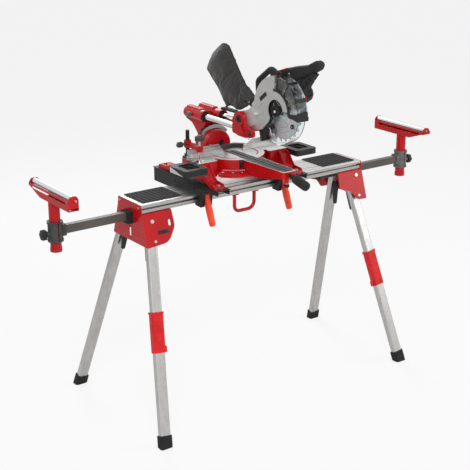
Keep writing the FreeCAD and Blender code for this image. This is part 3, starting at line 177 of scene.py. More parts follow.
camera = bpy.data.objects.new("camera", bpy.data.cameras.new("camera"))
scene.collection.objects.link(camera)
azimuth = math.radians(cameraSetup["azimuth"])
elevation = math.radians(cameraSetup["elevation"])
outward = Vector((math.sin(azimuth) * math.cos(elevation), -math.cos(azimuth) * math.cos(elevation),
                  math.sin(elevation)))
camera.location = Vector(cameraSetup["aim"]) + outward * cameraSetup["distance"]
aimAt(camera, cameraSetup["aim"])
camera.data.lens = cameraSetup["lens"]
scene.camera = camera
scene.view_settings.view_transform = "Standard"
for lampName in ("key", "fill", "back"):
    addLamp(lampName, lampSetup[lampName + "Place"], lampSetup[lampName + "Size"], lampSetup[lampName + "Power"])


def whiteToEye(tree, kinds):
    # 1 where a ray comes from the camera, or through glass, or off metal
    paths = addNode(tree, "ShaderNodeLightPath")
    seen = paths.outputs[kinds[0]]
    for kind in kinds[1:]:
        seen = sumOf(tree, seen, paths.outputs[kind], "MAXIMUM")
    return seen


def mixShaders(tree, factor, first, second, end):
    mix = addNode(tree, "ShaderNodeMixShader")
    for index, socket in enumerate((factor, first.outputs[0], second.outputs[0])):
        tree.links.new(socket, mix.inputs[index])
    tree.links.new(mix.outputs[0], tree.nodes[end].inputs[0])


world = bpy.data.worlds.new("studio")
scene.world = world
world.use_nodes = True
worldTree = world.node_tree
backdrop = worldTree.nodes["Background"]
backdrop.inputs["Color"].default_value = (1, 1, 1, 1)
backdrop.inputs["Strength"].default_value = lampSetup["worldStrength"]
bright = addNode(worldTree, "ShaderNodeBackground", Color=(1, 1, 1, 1), Strength=1)
worldSeen = whiteToEye(worldTree, ("Is Camera Ray", "Is Transmission Ray", "Is Glossy Ray"))
mixShaders(worldTree, worldSeen, backdrop, bright, "World Output")

# lift is how much white covers the soft shadow
floorSetup = {"size": 60, "colour": (0.86, 0.86, 0.86), "roughness": 0.9, "shine": 0.1, "lift": 0.8}
floorMesh = bmesh.new()
bmesh.ops.create_grid(floorMesh, x_segments=2, y_segments=2, size=floorSetup["size"])
floorData = bpy.data.meshes.new("floor")
floorMesh.to_mesh(floorData)
floorMesh.free()
floor = bpy.data.objects.new("floor", floorData)
scene.collection.objects.link(floor)
floorFinish, floorTree, floorShader = newFinish("pale floor", floorSetup["colour"], floorSetup["roughness"],
                                                shine=floorSetup["shine"])
floorGlow = addNode(floorTree, "ShaderNodeEmission", Strength=1)
floorSeen = whiteToEye(floorTree, ("Is Camera Ray", "Is Transmission Ray"))
floorLift = sumOf(floorTree, floorSeen, floorSetup["lift"], "MULTIPLY")
mixShaders(floorTree, floorLift, floorShader, floorGlow, "Material Output")
floorData.materials.append(floorFinish)
print("camera, lamps and floor ready")


# finishes
def shade(colour, factor, lift=0.0):
    return tuple(c * factor + lift for c in colour)


def enamel(name, base, worn, gloss=0.22, coat=0.16):
    # sprayed enamel: orange peel, slow colour drift, lighter worn edges
    finish, tree, shader = newFinish(name, base, gloss, coat=coat, shine=0.24)
    coords = placeCoords(tree)
    drift = rangeOf(tree, noiseOf(tree, coords, 9, 4), 0.35, 0.65)
    deeper = shade(base, 0.82)
    paint = mixOf(tree, drift, base, deeper)
    scuffs = rangeOf(tree, noiseOf(tree, coords, 160, 6, 0.7), 0.45, 0.7)
    wear = sumOf(tree, edgeMask(tree, 0.0012, 0.8), scuffs, "MULTIPLY")
    tree.links.new(mixOf(tree, wear, paint, worn), shader.inputs["Base Color"])
    tree.links.new(rangeOf(tree, scuffs, 0, 1, gloss, gloss + 0.12), shader.inputs["Roughness"])
    bumpOf(tree, shader, noiseOf(tree, coords, 900, 2), 0.05, 0.0004, edge=0.0008)
    return finish


def moulded(name, base, roughness, grain=1500, depth=0.16, edge=0.0007):
    # moulded plastic: fine spark-eroded grain, paler rubbed edges and a little dust
    finish, tree, shader = newFinish(name, base, roughness, shine=0.28)
    coords = placeCoords(tree)
    cells = addNode(tree, "ShaderNodeTexVoronoi", Scale=grain)
    tree.links.new(coords, cells.inputs["Vector"])
    drift = rangeOf(tree, noiseOf(tree, coords, 30, 5, 0.6), 0.3, 0.7)
    paler = shade(base, 1.5, 0.006)
    rubbed = shade(base, 1.7, 0.02)
    body = mixOf(tree, drift, base, paler)
    tree.links.new(mixOf(tree, edgeMask(tree, 0.001, 0.75), body, rubbed), shader.inputs["Base Color"])
    tree.links.new(rangeOf(tree, drift, 0, 1, roughness - 0.06, roughness + 0.08), shader.inputs["Roughness"])
    bumpOf(tree, shader, cells.outputs["Distance"], depth, 0.0003, edge=edge)
    return finish


def drawn(name, base, roughness, along, turn=(0, 0, 0), metallic=1.0, lines=700, edge=0.0005):
    # drawn, extruded or brushed metal: long fine lines one way
    finish, tree, shader = newFinish(name, base, roughness, metallic)
    scale = tuple(lines * (0.012 if axis == along else 1.0) for axis in "xyz")
    coords = placeCoords(tree, scale, turn)
    hair = noiseOf(tree, coords, 1, 4, 0.6)
    broad = noiseOf(tree, placeCoords(tree, tuple(s * 0.12 for s in scale), turn), 1, 2)
    streak = sumOf(tree, hair, broad, "ADD")
    darker = shade(base, 0.78)
    tree.links.new(mixOf(tree, rangeOf(tree, streak, 0.7, 1.3), darker, base), shader.inputs["Base Color"])
    tree.links.new(rangeOf(tree, streak, 0.7, 1.3, roughness + 0.1, roughness - 0.05), shader.inputs["Roughness"])
    bumpOf(tree, shader, hair, 0.05, 0.0002, edge=edge)
    return finish


def turned(name, base, roughness, centre, axis, metallic=1.0, rings=900, bands=()):
    # faced on a lathe or ground: fine rings round one axis, with optional thin painted rings
    finish, tree, shader = newFinish(name, base, roughness, metallic)
    flatten = tuple(0.0 if letter == axis else 1.0 for letter in "xyz")
    coords = placeCoords(tree, flatten, centre=centre)
    reach = addNode(tree, "ShaderNodeVectorMath", operation="LENGTH")
    tree.links.new(coords, reach.inputs[0])
    rim = addNode(tree, "ShaderNodeTexNoise", noise_dimensions="1D", Scale=1.0, Detail=3.0)
    tree.links.new(sumOf(tree, reach.outputs["Value"], float(rings), "MULTIPLY"), rim.inputs["W"])
    darker = shade(base, 0.75)
    tone = mixOf(tree, rangeOf(tree, rim.outputs["Fac"], 0.35, 0.65), darker, base)
    for radius, width, colour in bands:
        away = sumOf(tree, sumOf(tree, reach.outputs["Value"], radius, "SUBTRACT"), 0.0, "ABSOLUTE")
        tone = mixOf(tree, rangeOf(tree, away, width * 0.45, width * 0.55, 1, 0), tone, colour)
    tree.links.new(tone, shader.inputs["Base Color"])
    rough = rangeOf(tree, rim.outputs["Fac"], 0.3, 0.7, roughness + 0.08, roughness - 0.05)
    tree.links.new(rough, shader.inputs["Roughness"])
    bumpOf(tree, shader, rim.outputs["Fac"], 0.04, 0.0002, edge=0.0004)
    return finish


def castMetal(name, base, roughness, metallic):
    # painted die casting: fine metallic flake whose specks are painted lighter in the colour as painted glints, and
    # soft edges
    finish, tree, shader = newFinish(name, base, roughness, metallic, coat=0.25, coatRoughness=0.15)
    coords = placeCoords(tree)
    flake = addNode(tree, "ShaderNodeTexVoronoi", Scale=2600.0)
    tree.links.new(coords, flake.inputs["Vector"])
    drift = rangeOf(tree, noiseOf(tree, coords, 14, 4), 0.35, 0.65)
    darker = shade(base, 0.86)
    tone = mixOf(tree, drift, base, darker)
    # real flake, with its sparkle painted in as lighter specks: painted glints
    flakeAndGlints = rangeOf(tree, flake.outputs["Distance"], 0, 0.5, 0.35, 0)
    tree.links.new(mixOf(tree, flakeAndGlints, tone, (0.9, 0.9, 0.9)), shader.inputs["Base Color"])
    tree.links.new(rangeOf(tree, drift, 0, 1, roughness - 0.05, roughness + 0.06), shader.inputs["Roughness"])
    bumpOf(tree, shader, noiseOf(tree, coords, 500, 3), 0.06, 0.0004, edge=0.0012)
    return finish


def clearSheet(name, tint):
    # clear polycarbonate with light scuffs
    finish, tree, shader = newFinish(name, tint, 0.05)
    shader.inputs["Transmission Weight"].default_value = 1.0
    shader.inputs["IOR"].default_value = 1.46
    coords = placeCoords(tree)
    haze = rangeOf(tree, noiseOf(tree, coords, 60, 6, 0.65), 0.4, 0.75, 0.02, 0.16)
    tree.links.new(haze, shader.inputs["Roughness"])
    bumpOf(tree, shader, noiseOf(tree, coords, 25, 2), 0.05, 0.001)
    return finish


def wovenCloth(name, base, pitch):
    # plain weave with soft fuzz, worn paler and darker in broad patches, with a fine dusting
    finish, tree, shader = newFinish(name, base, 0.9)
    shader.inputs["Sheen Weight"].default_value = 0.3
    shader.inputs["Sheen Roughness"].default_value = 0.45
    coords = placeCoords(tree)
    threads = []
    for direction in ("Y", "Z"):
        wave = addNode(tree, "ShaderNodeTexWave", bands_direction=direction, Scale=0.314 / pitch, Distortion=1.2)
        wave.inputs["Detail Scale"].default_value = 2.0
        tree.links.new(coords, wave.inputs["Vector"])
        threads.append(wave.outputs["Fac"])
    weave = sumOf(tree, threads[0], threads[1], "MULTIPLY")
    broad = rangeOf(tree, noiseOf(tree, coords, 13, 4, 0.55), 0.3, 0.7)
    fine = rangeOf(tree, noiseOf(tree, coords, 220, 5, 0.7), 0.3, 0.7)
    paler = shade(base, 1.45, 0.004)
    darker = shade(base, 0.7)
    tone = mixOf(tree, broad, darker, paler)
    dusty = shade(base, 2.0, 0.01)
    tone = mixOf(tree, sumOf(tree, fine, 0.35, "MULTIPLY"), tone, dusty)
    tree.links.new(mixOf(tree, sumOf(tree, weave, 0.5, "MULTIPLY"), darker, tone), shader.inputs["Base Color"])
    bumpOf(tree, shader, sumOf(tree, weave, fine, "ADD"), 0.35, 0.0004)
    return finish


redPaint = enamel("red enamel", (0.56, 0.005, 0.009), (0.62, 0.12, 0.1))
darkRedPlastic = moulded("dark red moulding", (0.30, 0.004, 0.006), 0.35, depth=0.06)
redPlastic = moulded("red moulding", (0.55, 0.008, 0.01), 0.32, depth=0.06)
orangePlastic = moulded("orange red moulding", (0.78, 0.055, 0.02), 0.35, depth=0.05)
blackMoulding = moulded("black moulding", (0.014, 0.014, 0.015), 0.42)
blackGrip = moulded("black soft grip", (0.012, 0.012, 0.012), 0.68, grain=900, depth=0.35)
blackRubber = moulded("black rubber", (0.010, 0.010, 0.010), 0.75, grain=700, depth=0.25)
blackSteel = enamel("black coated steel", (0.012, 0.012, 0.013), (0.10, 0.10, 0.10), gloss=0.34, coat=0.1)
greyMoulding = moulded("grey moulding", (0.11, 0.112, 0.105), 0.5)
oliveMoulding = moulded("olive grey moulding", (0.085, 0.086, 0.07), 0.42)
darkGreyMoulding = moulded("dark grey moulding", (0.045, 0.046, 0.045), 0.5)
paleGreyMoulding = moulded("pale grey moulding", (0.36, 0.36, 0.35), 0.48)
brownSteel = enamel("brown grey steel", (0.115, 0.10, 0.088), (0.2, 0.19, 0.17), gloss=0.3, coat=0.15)
casingMetal = castMetal("silver casting", (0.56, 0.56, 0.55), 0.36, 0.55)
wingMetal = drawn("machined wing", (0.6, 0.6, 0.595), 0.3, "x")
tableMetal = turned("faced table", (0.58, 0.58, 0.575), 0.28, sawOrigin, "z")
railMetal = drawn("extruded rail", (0.58, 0.575, 0.565), 0.3, "x")
fenceMetal = drawn("machined fence", (0.61, 0.61, 0.605), 0.26, "x")
screwMetal = drawn("zinc screws", (0.62, 0.62, 0.6), 0.25, "z", lines=1200)
polishedSteel = drawn("polished rails", (0.82, 0.82, 0.83), 0.1, "y", lines=1200)
rollerSteel = turned("turned roller", (0.76, 0.76, 0.77), 0.2, (0, standY, 0.888), "x")
bladeSteel = turned("ground blade", (0.62, 0.62, 0.63), 0.24, bladeCentre, "x", rings=1600,
                    bands=((0.057, 0.0012, (0.5, 0.02, 0.02)), (0.074, 0.0010, (0.5, 0.02, 0.02))))
carbide = drawn("ground carbide", (0.5, 0.5, 0.5), 0.3, "x", lines=1500)
clearGuard = clearSheet("clear guard", (0.93, 0.96, 0.97))
charcoalCloth = wovenCloth("charcoal cloth", (0.042, 0.039, 0.038), 0.0011)
glossBlack = moulded("gloss black plate", (0.012, 0.012, 0.013), 0.2, depth=0.02)
whitePrint = moulded("white print", (0.8, 0.8, 0.78), 0.5, depth=0.02)
redPrint = moulded("red print", (0.6, 0.02, 0.02), 0.5, depth=0.02)
paleThread = moulded("grey thread", (0.13, 0.125, 0.12), 0.8, grain=3000, depth=0.3)
print("finishes ready")


# CAD nodes: one finish each, with another on the faces that a test picks
def dress(name, finish, *parts):
    mesh = nodes[name].data
    mesh.materials.clear()
    mesh.materials.append(finish)
    for index, (test, other) in enumerate(parts):
        mesh.materials.append(other)
        for face in mesh.polygons:
            if test(face.center):
                face.material_index = index + 1


def legMetal(side, face):
    return drawn("leg tube " + side + face, (0.58, 0.572, 0.56), 0.28, "z",
                 turn=(-17.5 if face == "front" else 17.5, -7.5 if side == "left" else 7.5, 0), lines=600)


def aroundBlade(point):
    return math.hypot(point.y - bladeCentre.y, point.z - bladeCentre.z) * 1000


def onLoopRod(point):
    # the two steel rods of an extension loop
    spot = fromSaw(point)
    return math.hypot(spot.y + (52 if spot.y < -37 else 22), spot.z + 12) < 5.2


def onBevelBolt(point):
    spot = fromSaw(point)
    return 102.9 < spot.y < 108 and math.hypot(spot.x - 14, spot.z - 14) < 11.95


def onMotorCap(point):
    return (point - onSaw(22, -263, 223)).dot(Vector((0.91355, 0, 0.40674))) > 0.06603


def onGuardRoller(point):
    return fromSaw(point).x < -20.04 and (point - guardRollerCentre).yz.length < 0.0088


dress("rail", railMetal)
dress("rail_fittings", blackRubber)
for end in ("left", "right"):
    dress("end_bracket_" + end, redPaint)
    dress("support_arm_" + end, brownSteel, (lambda p: abs(p.x) < 0.3521, blackMoulding))
    dress("clamp_knob_" + end, blackMoulding, (lambda p: abs(p.x) < 0.822 and abs(p.z - 0.74) < 0.0055, screwMetal))
    dress("support_post_" + end, redPaint)
    dress("support_roller_" + end, rollerSteel)
    dress("tool_bar_" + end, blackSteel)
    dress("bar_lever_" + end, orangePlastic)
    dress("leg_grip_" + end, redPlastic)
    dress("sliding_fence_" + end, fenceMetal, (lambda p: fromSaw(p).y > 15.1, darkGreyMoulding))
    dress("extension_" + end, blackMoulding, (onLoopRod, polishedSteel))
    for face in ("front", "rear"):
        dress("leg_" + face + "_" + end, legMetal(end, face), (lambda p: p.z < 0.05, blackRubber))
        dress("leg_lever_" + face + "_" + end, blackMoulding)
dress("post_clamp_left", darkGreyMoulding)
dress("post_clamp_right", greyMoulding)
dress("bracket_bolts", screwMetal)
dress("carry_loop", redPaint)
dress("saw_base", redPaint, (lambda p: abs(fromSaw(p).z) < 0.2, wingMetal))
dress("fence", fenceMetal, (lambda p: fromSaw(p).y > 9.1, darkGreyMoulding))
dress("hold_down_post", blackSteel)
dress("hold_down_arm", redPaint, (lambda p: fromSaw(p).x < -188.9, darkGreyMoulding))
dress("hold_down_screw", polishedSteel, (lambda p: fromSaw(p).z > 75.9, darkGreyMoulding))
dress("turntable", redPaint,
      (lambda p: -0.2 < fromSaw(p).z < 1 and fromSaw(p).y < 100, tableMetal),
      (lambda p: -47.6 < fromSaw(p).z < -43 and fromSaw(p).y < -290, paleGreyMoulding),
      (lambda p: fromSaw(p).z < -47.5 and fromSaw(p).y < -290, blackRubber),
      (onBevelBolt, blackMoulding),
      (lambda p: -48 < fromSaw(p).x < -39 and -113 < fromSaw(p).y < -98.9, blackMoulding),
      (lambda p: -27.6 < fromSaw(p).x < -22.4 and fromSaw(p).z > -1.49 and -296 < fromSaw(p).y < -62, greyMoulding))
dress("kerf_insert", blackMoulding)
dress("mitre_handle", blackGrip)
dress("bevel_scale", blackSteel, (lambda p: fromSaw(p).y < 122.1, fenceMetal))
dress("tilt_arm", redPaint)
dress("bevel_lever", blackMoulding)
dress("slide_rails", polishedSteel, (lambda p: fromSaw(p).z > 133.9, blackMoulding))
dress("slide_knob", greyMoulding)
dress("head_bracket", redPaint,
      (lambda p: math.hypot(fromSaw(p).y + 103, fromSaw(p).z - 150) < 13.1 and fromSaw(p).x < -51.8, blackSteel),
      (lambda p: math.hypot(fromSaw(p).y + 168, fromSaw(p).z - 107) < 8.95 and fromSaw(p).x < -50.04, blackMoulding))
dress("head_casing", casingMetal)
dress("guard_window", clearGuard)
dress("guard_frame", blackMoulding,
      (lambda p: 79 < aroundBlade(p) < 116 and p.z > bladeCentre.z + 0.008, oliveMoulding))
dress("motor", darkRedPlastic, (onMotorCap, blackMoulding))
dress("main_handle", blackGrip)
dress("trigger", blackMoulding)
dress("dust_chute", blackRubber, (lambda p: fromSaw(p).x < -24.01, screwMetal))
dress("dust_bag", blackRubber)
dress("saw_blade", bladeSteel)
dress("blade_arbor", screwMetal)
dress("lower_guard", clearGuard,
      (lambda p: fromSaw(p).x < -17.9 and aroundBlade(p) < 36.5, blackMoulding),
      (onGuardRoller, blackRubber))
dress("saw_bolts", screwMetal)
print("CAD nodes dressed")


# small parts are built once, then stamped where they go
def shapeOf(part):
    data = bpy.data.meshes.new("shape")
    part.to_mesh(data)
    part.free()
    return data


def softened(part, edges, soft, segments):
    bmesh.ops.bevel(part, geom=list(edges), offset=soft, offset_type="OFFSET", segments=segments,
                    profile=0.5, affect="EDGES", material=-1)


def blockShape(size, soft=0.0):
    part = bmesh.new()
    made = bmesh.ops.create_cube(part, size=1)["verts"]
    bmesh.ops.scale(part, vec=size, verts=made)
    if soft:
        softened(part, part.edges, soft, 2)
    return shapeOf(part)


def turnedShape(profile, steps=32):
    # profile in millimetres, from the axis out and back to the axis
    part = bmesh.new()
    verts = [part.verts.new((radius / 1000, 0, height / 1000)) for radius, height in profile]
    edges = [part.edges.new(pair) for pair in zip(verts, verts[1:])]
    bmesh.ops.spin(part, geom=verts + edges, cent=(0, 0, 0), axis=(0, 0, 1), angle=2 * math.pi,
                   steps=steps, use_merge=True)
    bmesh.ops.remove_doubles(part, verts=part.verts[:], dist=1e-6)
    bmesh.ops.recalc_face_normals(part, faces=part.faces[:])
    return shapeOf(part)


def joined(piece):
    # the mesh of a curve or text with its loose seams closed
    flat = bpy.data.meshes.new_from_object(piece)
    bpy.data.objects.remove(piece)
    part = bmesh.new()
    part.from_mesh(flat)
    bmesh.ops.remove_doubles(part, verts=part.verts[:], dist=1e-6)
    bmesh.ops.recalc_face_normals(part, faces=part.faces[:])
    return shapeOf(part)


def wordsShape(words, height, thick=0.0001):
    curve = bpy.data.curves.new("words", "FONT")
    curve.body, curve.size, curve.extrude = words, height, thick
    curve.align_x, curve.align_y = "CENTER", "CENTER"
    return joined(bpy.data.objects.new("words", curve))


def facing(point, direction, roll=0.0):
    # a place at the point whose Z axis looks along the direction
    turn = Vector(direction).to_track_quat("Z", "Y").to_matrix().to_4x4()
    return Matrix.Translation(point) @ turn @ Matrix.Rotation(roll, 4, "Z")


def framed(point, across, along):
    # a place whose X axis runs across and whose Y axis runs along
    across, along = Vector(across).normalized(), Vector(along).normalized()
    turn = Matrix((across, along, across.cross(along))).transposed().to_4x4()
    return Matrix.Translation(point) @ turn


def stamp(mesh, shape, place):
    start = len(mesh.verts)
    mesh.from_mesh(shape)
    mesh.verts.ensure_lookup_table()
    bmesh.ops.transform(mesh, matrix=place, verts=mesh.verts[start:])


def extruded(part, corners, shift):
    # a flat outline made solid; gives back the corners of its far side
    face = part.faces.new([part.verts.new(corner) for corner in corners])
    grown = bmesh.ops.extrude_face_region(part, geom=[face])["geom"]
    moved = [item for item in grown if isinstance(item, bmesh.types.BMVert)]
    bmesh.ops.translate(part, vec=shift, verts=moved)
    bmesh.ops.recalc_face_normals(part, faces=part.faces[:])
    return moved


def plateShape(corners, direction, thick, soft=0.0):
    # a plate that grows along the direction, soft at its far edges
    part = bmesh.new()
    moved = extruded(part, corners, Vector(direction) * thick)
    if soft:
        softened(part, {edge for vert in moved for edge in vert.link_edges}, soft, 3)
    return shapeOf(part)


def tubeShape(points, radius, closed=False, sides=3):
    curve = bpy.data.curves.new("tube", "CURVE")
    curve.dimensions, curve.bevel_depth, curve.bevel_resolution = "3D", radius, sides
    curve.resolution_u = 3
    curve.use_fill_caps = not closed
    line = curve.splines.new("NURBS")
    line.points.add(len(points) - 1)
    for index, point in enumerate(points):
        line.points[index].co = (*point, 1)
    line.order_u, line.use_endpoint_u, line.use_cyclic_u = 3, not closed, closed
    return joined(bpy.data.objects.new("tube", curve))


def keepPiece(name, mesh, finish, body, smooth=True):
    data = bpy.data.meshes.new(name)
    mesh.to_mesh(data)
    mesh.free()
    data.materials.append(finish)
    for face in data.polygons:
        face.material_index = 0
    if smooth:
        data.shade_smooth()
        data.set_sharp_from_angle(angle=math.radians(35))
    piece = bpy.data.objects.new(name, data)
    scene.collection.objects.link(piece)
    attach(piece, body)
    return piece


def stamped(name, finish, body, stamps, smooth=True):
    # stamps are (shape, place) pairs
    mesh = bmesh.new()
    for shape, place in stamps:
        stamp(mesh, shape, place)
    return keepPiece(name, mesh, finish, body, smooth)


# dust bag: slack cloth with a gathered neck
dustBag = {
    "outline": ((-98, 190), (-62, 174), (-44, 165), (-24, 163), (-6, 170), (14, 172), (30, 165), (40, 162),
                (64, 190), (92, 222), (130, 252), (163, 280), (150, 306), (126, 340), (96, 364), (66, 385),
                (44, 388), (22, 382), (-2, 350), (-26, 320), (-50, 290), (-76, 261), (-98, 246), (-112, 232)),
    "middle": -4, "rim": 10, "crownInset": 26, "crown": 9,
    "neckFrom": (-124, 206), "neckTo": (-66, 235), "neckNear": 14.5, "neckFar": 22,
    "voxel": 0.0042, "pressure": 4.0, "spare": 0.05, "frames": 20, "cap": 0.014, "pinned": 7.0,
    "hemReach": 16.0, "hemThick": 0.22, "neckClear": 0.045, "neckHeld": 0.028, "smoothings": 4, "fill": 0.25,
    "creases": 13, "creaseDepth": 2.6, "creaseReach": 62, "sway": 2.2, "wrinkle": 0.8,
}
bagLine = [Vector(corner) for corner in dustBag["outline"]]


def bagEdgeDistance(point):
    # how far a point is from the sewn edge, in millimetres
    flat = fromSaw(point).yz
    nearest = 1000.0
    for index, corner in enumerate(bagLine):
        foot, share = geometry.intersect_point_line(flat, bagLine[index - 1], corner)
        foot = bagLine[index - 1].lerp(corner, min(1, max(0, share)))
        nearest = min(nearest, (flat - foot).length)
    return nearest


def onBag(spot):
    return onSaw(dustBag["middle"], *spot)


def bagStart():
    part = bmesh.new()
    near = dustBag["middle"] - dustBag["rim"] / 2
    extruded(part, [onSaw(near, y, z) for y, z in dustBag["outline"]], (dustBag["rim"] / 1000, 0, 0))
    sides = [face for face in part.faces if len(face.verts) > 4]
    bmesh.ops.inset_region(part, faces=sides, thickness=dustBag["crownInset"] / 1000, depth=dustBag["crown"] / 1000,
                           use_even_offset=True)
    low, high = onBag(dustBag["neckFrom"]), onBag(dustBag["neckTo"])
    bmesh.ops.create_cone(part, cap_ends=True, segments=32, radius1=dustBag["neckNear"] / 1000,
                          radius2=dustBag["neckFar"] / 1000, depth=(high - low).length,
                          matrix=facing((low + high) / 2, high - low))
    return part


def evaluatedMesh(piece):
    return bpy.data.meshes.new_from_object(piece.evaluated_get(bpy.context.evaluated_depsgraph_get()))


def puffUp(piece):
    # cloth pressed out from inside, its sewn edge and neck held, each point's travel capped
    held = piece.vertex_groups.new(name="held")
    low = onBag(dustBag["neckFrom"])
    firm = [vert.index for vert in piece.data.vertices
            if bagEdgeDistance(vert.co) < dustBag["pinned"] or (vert.co - low).length < dustBag["neckHeld"]]
    held.add(firm, 1.0, "REPLACE")
    before = [vert.co.copy() for vert in piece.data.vertices]
    cloth = piece.modifiers.new("cloth", "CLOTH")
    cloth.settings.use_pressure = True
    cloth.settings.uniform_pressure_force = dustBag["pressure"]
    cloth.settings.effector_weights.gravity = 0
    cloth.settings.vertex_group_mass = "held"
    cloth.settings.shrink_min = -dustBag["spare"]
    cloth.point_cache.frame_start, cloth.point_cache.frame_end = 1, dustBag["frames"]
    for frameNumber in range(1, dustBag["frames"] + 1):
        scene.frame_set(frameNumber)
    puffed = evaluatedMesh(piece)
    for vert, start, end in zip(piece.data.vertices, before, puffed.vertices):
        travel = end.co - start
        if travel.length > dustBag["cap"]:
            travel *= dustBag["cap"] / travel.length
        vert.co = start + travel
    piece.modifiers.remove(cloth)
    scene.frame_set(1)


def bagCreases(co):
    # soft folds that run out of the gathered neck, and a slow sway over the sides
    spot = fromSaw(co)
    away = spot.yz - Vector(dustBag["neckFrom"])
    reach = away.length
    fade = math.exp(-((reach - 24) / dustBag["creaseReach"]) ** 2) * min(1.0, max(0.0, (reach - 14) / 14))
    angle = math.atan2(away.y, away.x)
    fold = math.sin(angle * dustBag["creases"] + 2.2 * noise.noise(spot * 0.018)) * dustBag["creaseDepth"] * fade
    slow = noise.noise(Vector((spot.x * 0.01 + 7, spot.y * 0.016, spot.z * 0.016))) * dustBag["sway"]
    fine = noise.noise(Vector((spot.x * 0.02, spot.y * 0.05 + spot.z * 0.02, spot.z * 0.035)))
    return (fold + slow + fine * dustBag["wrinkle"]) / 1000


def smoothed(part, factor):
    bmesh.ops.smooth_vert(part, verts=part.verts[:], factor=factor, use_axis_x=True, use_axis_y=True, use_axis_z=True)


def makeDustBag():
    piece = keepPiece("dust_bag_cloth", bagStart(), charcoalCloth, "head")
    remesh = piece.modifiers.new("remesh", "REMESH")
    remesh.mode, remesh.voxel_size = "VOXEL", dustBag["voxel"]
    fine = evaluatedMesh(piece)
    piece.modifiers.remove(remesh)
    part = bmesh.new()
    part.from_mesh(fine)
    for _ in range(dustBag["smoothings"]):
        smoothed(part, 0.5)
    part.to_mesh(piece.data)
    part.free()
    puffUp(piece)
    part = bmesh.new()
    part.from_mesh(piece.data)
    bmesh.ops.subdivide_edges(part, edges=part.edges[:], cuts=1, use_grid_fill=True, smooth=0.6)
    part.normal_update()
    middle = onBag((0, 0)).x
    neckEnd = onBag(dustBag["neckFrom"])
    for vert in part.verts:
        hem = min(1.0, bagEdgeDistance(vert.co) / dustBag["hemReach"])
        if (vert.co - neckEnd).length < dustBag["neckClear"]:
            hem = 1.0
        thin = dustBag["hemThick"] + (1 - dustBag["hemThick"]) * math.sin(hem * math.pi / 2)
        vert.co += vert.normal * bagCreases(vert.co) * min(1.0, hem + 0.1)
        vert.co.x = middle + (vert.co.x - middle) * thin
    smoothed(part, 0.4)
    bmesh.ops.recalc_face_normals(part, faces=part.faces[:])
    part.to_mesh(piece.data)
    part.free()
    piece.data.materials.clear()
    piece.data.materials.append(charcoalCloth)
    piece.data.shade_smooth()
    piece.vertex_groups.clear()
    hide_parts("dust_bag")
    return piece


# sewn edge, top stitching, zip and collar of the bag
bagTrim = {
    "piping": 0.0013, "step": 5.0, "heart": (24, 268), "neckBare": 46, "beside": 90,
    "stitchIn": 8.5, "stitchPitch": 4.4, "stitch": (0.0005, 0.0027, 0.0005),
    "zipFrom": 1, "zipTo": 7, "zipPitch": 1.9, "tooth": (0.0046, 0.0011, 0.0019), "toothOut": 0.0008,
    "slider": (0.0062, 0.0085, 0.0042), "pull": (0.0012, 0.0042, 0.0135), "pullDrop": (0, -0.001, 0.0085),
    "pullTilt": 8,
    "collar": ((15.4, -2), (18.2, -2), (19, -1.2), (19, 1.6), (17.4, 2.4), (17.4, 7.4), (19, 8.2), (19, 10.8),
               (18.2, 11.6), (15.4, 11.6), (15.4, -2)),
    "collarAt": (-129, 203.4), "ear": (0.009, 0.011, 0.0075), "earAlong": 0.0048, "earAside": (-0.0185, 0, 0.003),
    "earFace": (-1, 0, 0.1),
}


def alongLine(points, pitch):
    # even steps along a line of points, each with its direction
    steps, carried = [], 0.0
    for start, end in zip(points, points[1:]):
        run = (end - start).length
        while carried < run:
            steps.append((start.lerp(end, carried / run), (end - start).normalized()))
            carried += pitch
        carried -= run
    return steps


def stitchPlaces(surface, seam):
    # top stitching runs beside the sewn edge, on both sides of the bag
    heart = Vector(bagTrim["heart"])
    places = []
    for spot, heading in alongLine([fromSaw(point).yz for point in seam], bagTrim["stitchPitch"]):
        inward = Vector((-heading.y, heading.x))
        if inward.dot(heart - spot) < 0:
            inward = -inward
        inner = spot + inward * bagTrim["stitchIn"]
        if (inner - Vector(dustBag["neckFrom"])).length < bagTrim["neckBare"]:
            continue
        for side in (-1, 1):
            start = onSaw(dustBag["middle"] + side * bagTrim["beside"], *inner)
            hit, normal, _, _ = surface.ray_cast(start, Vector((-side, 0, 0)))
            if hit:
                along = Vector((0, heading.x, heading.y))
                places.append(framed(hit, normal.cross(along), along))
    return places


def makeBagZip(surface):
    tooth = blockShape(bagTrim["tooth"], 0.0002)
    teeth = []
    for spot, heading in alongLine(bagLine[bagTrim["zipFrom"]:bagTrim["zipTo"] + 1], bagTrim["zipPitch"]):
        point = surface.find_nearest(onBag(spot))[0]
        out = Vector((0, heading.y, -heading.x)) * bagTrim["toothOut"]
        teeth.append((tooth, framed(point + out, (1, 0, 0), (0, heading.x, heading.y))))
    slider = framed(teeth[-1][1].translation, (1, 0, 0), (0, heading.x, heading.y))
    teeth.append((blockShape(bagTrim["slider"], 0.0009), slider))
    stamped("dust_bag_zip", blackMoulding, "head", teeth)
    pullPlace = Matrix.Translation(slider.translation - Vector(bagTrim["pullDrop"]))
    pullPlace = pullPlace @ Matrix.Rotation(math.radians(bagTrim["pullTilt"]), 4, "X")
    pull = blockShape(bagTrim["pull"], 0.0005)
    stamped("dust_bag_zip_pull", blackSteel, "head", [(pull, pullPlace)])


def makeBagCollar():
    # clamp ring at the neck; gives back the place of its ear for the screw
    ringAt = onBag(bagTrim["collarAt"])
    toNeck = onBag(dustBag["neckTo"]) - onBag(dustBag["neckFrom"])
    earAt = ringAt + toNeck.normalized() * bagTrim["earAlong"] + Vector(bagTrim["earAside"])
    ring, ear = turnedShape(bagTrim["collar"], 48), blockShape(bagTrim["ear"], 0.0012)
    earPlace = facing(earAt, bagTrim["earFace"])
    stamps = [(ring, facing(ringAt, toNeck)), (ear, earPlace)]
    stamped("dust_bag_collar", blackMoulding, "head", stamps)
    return earPlace


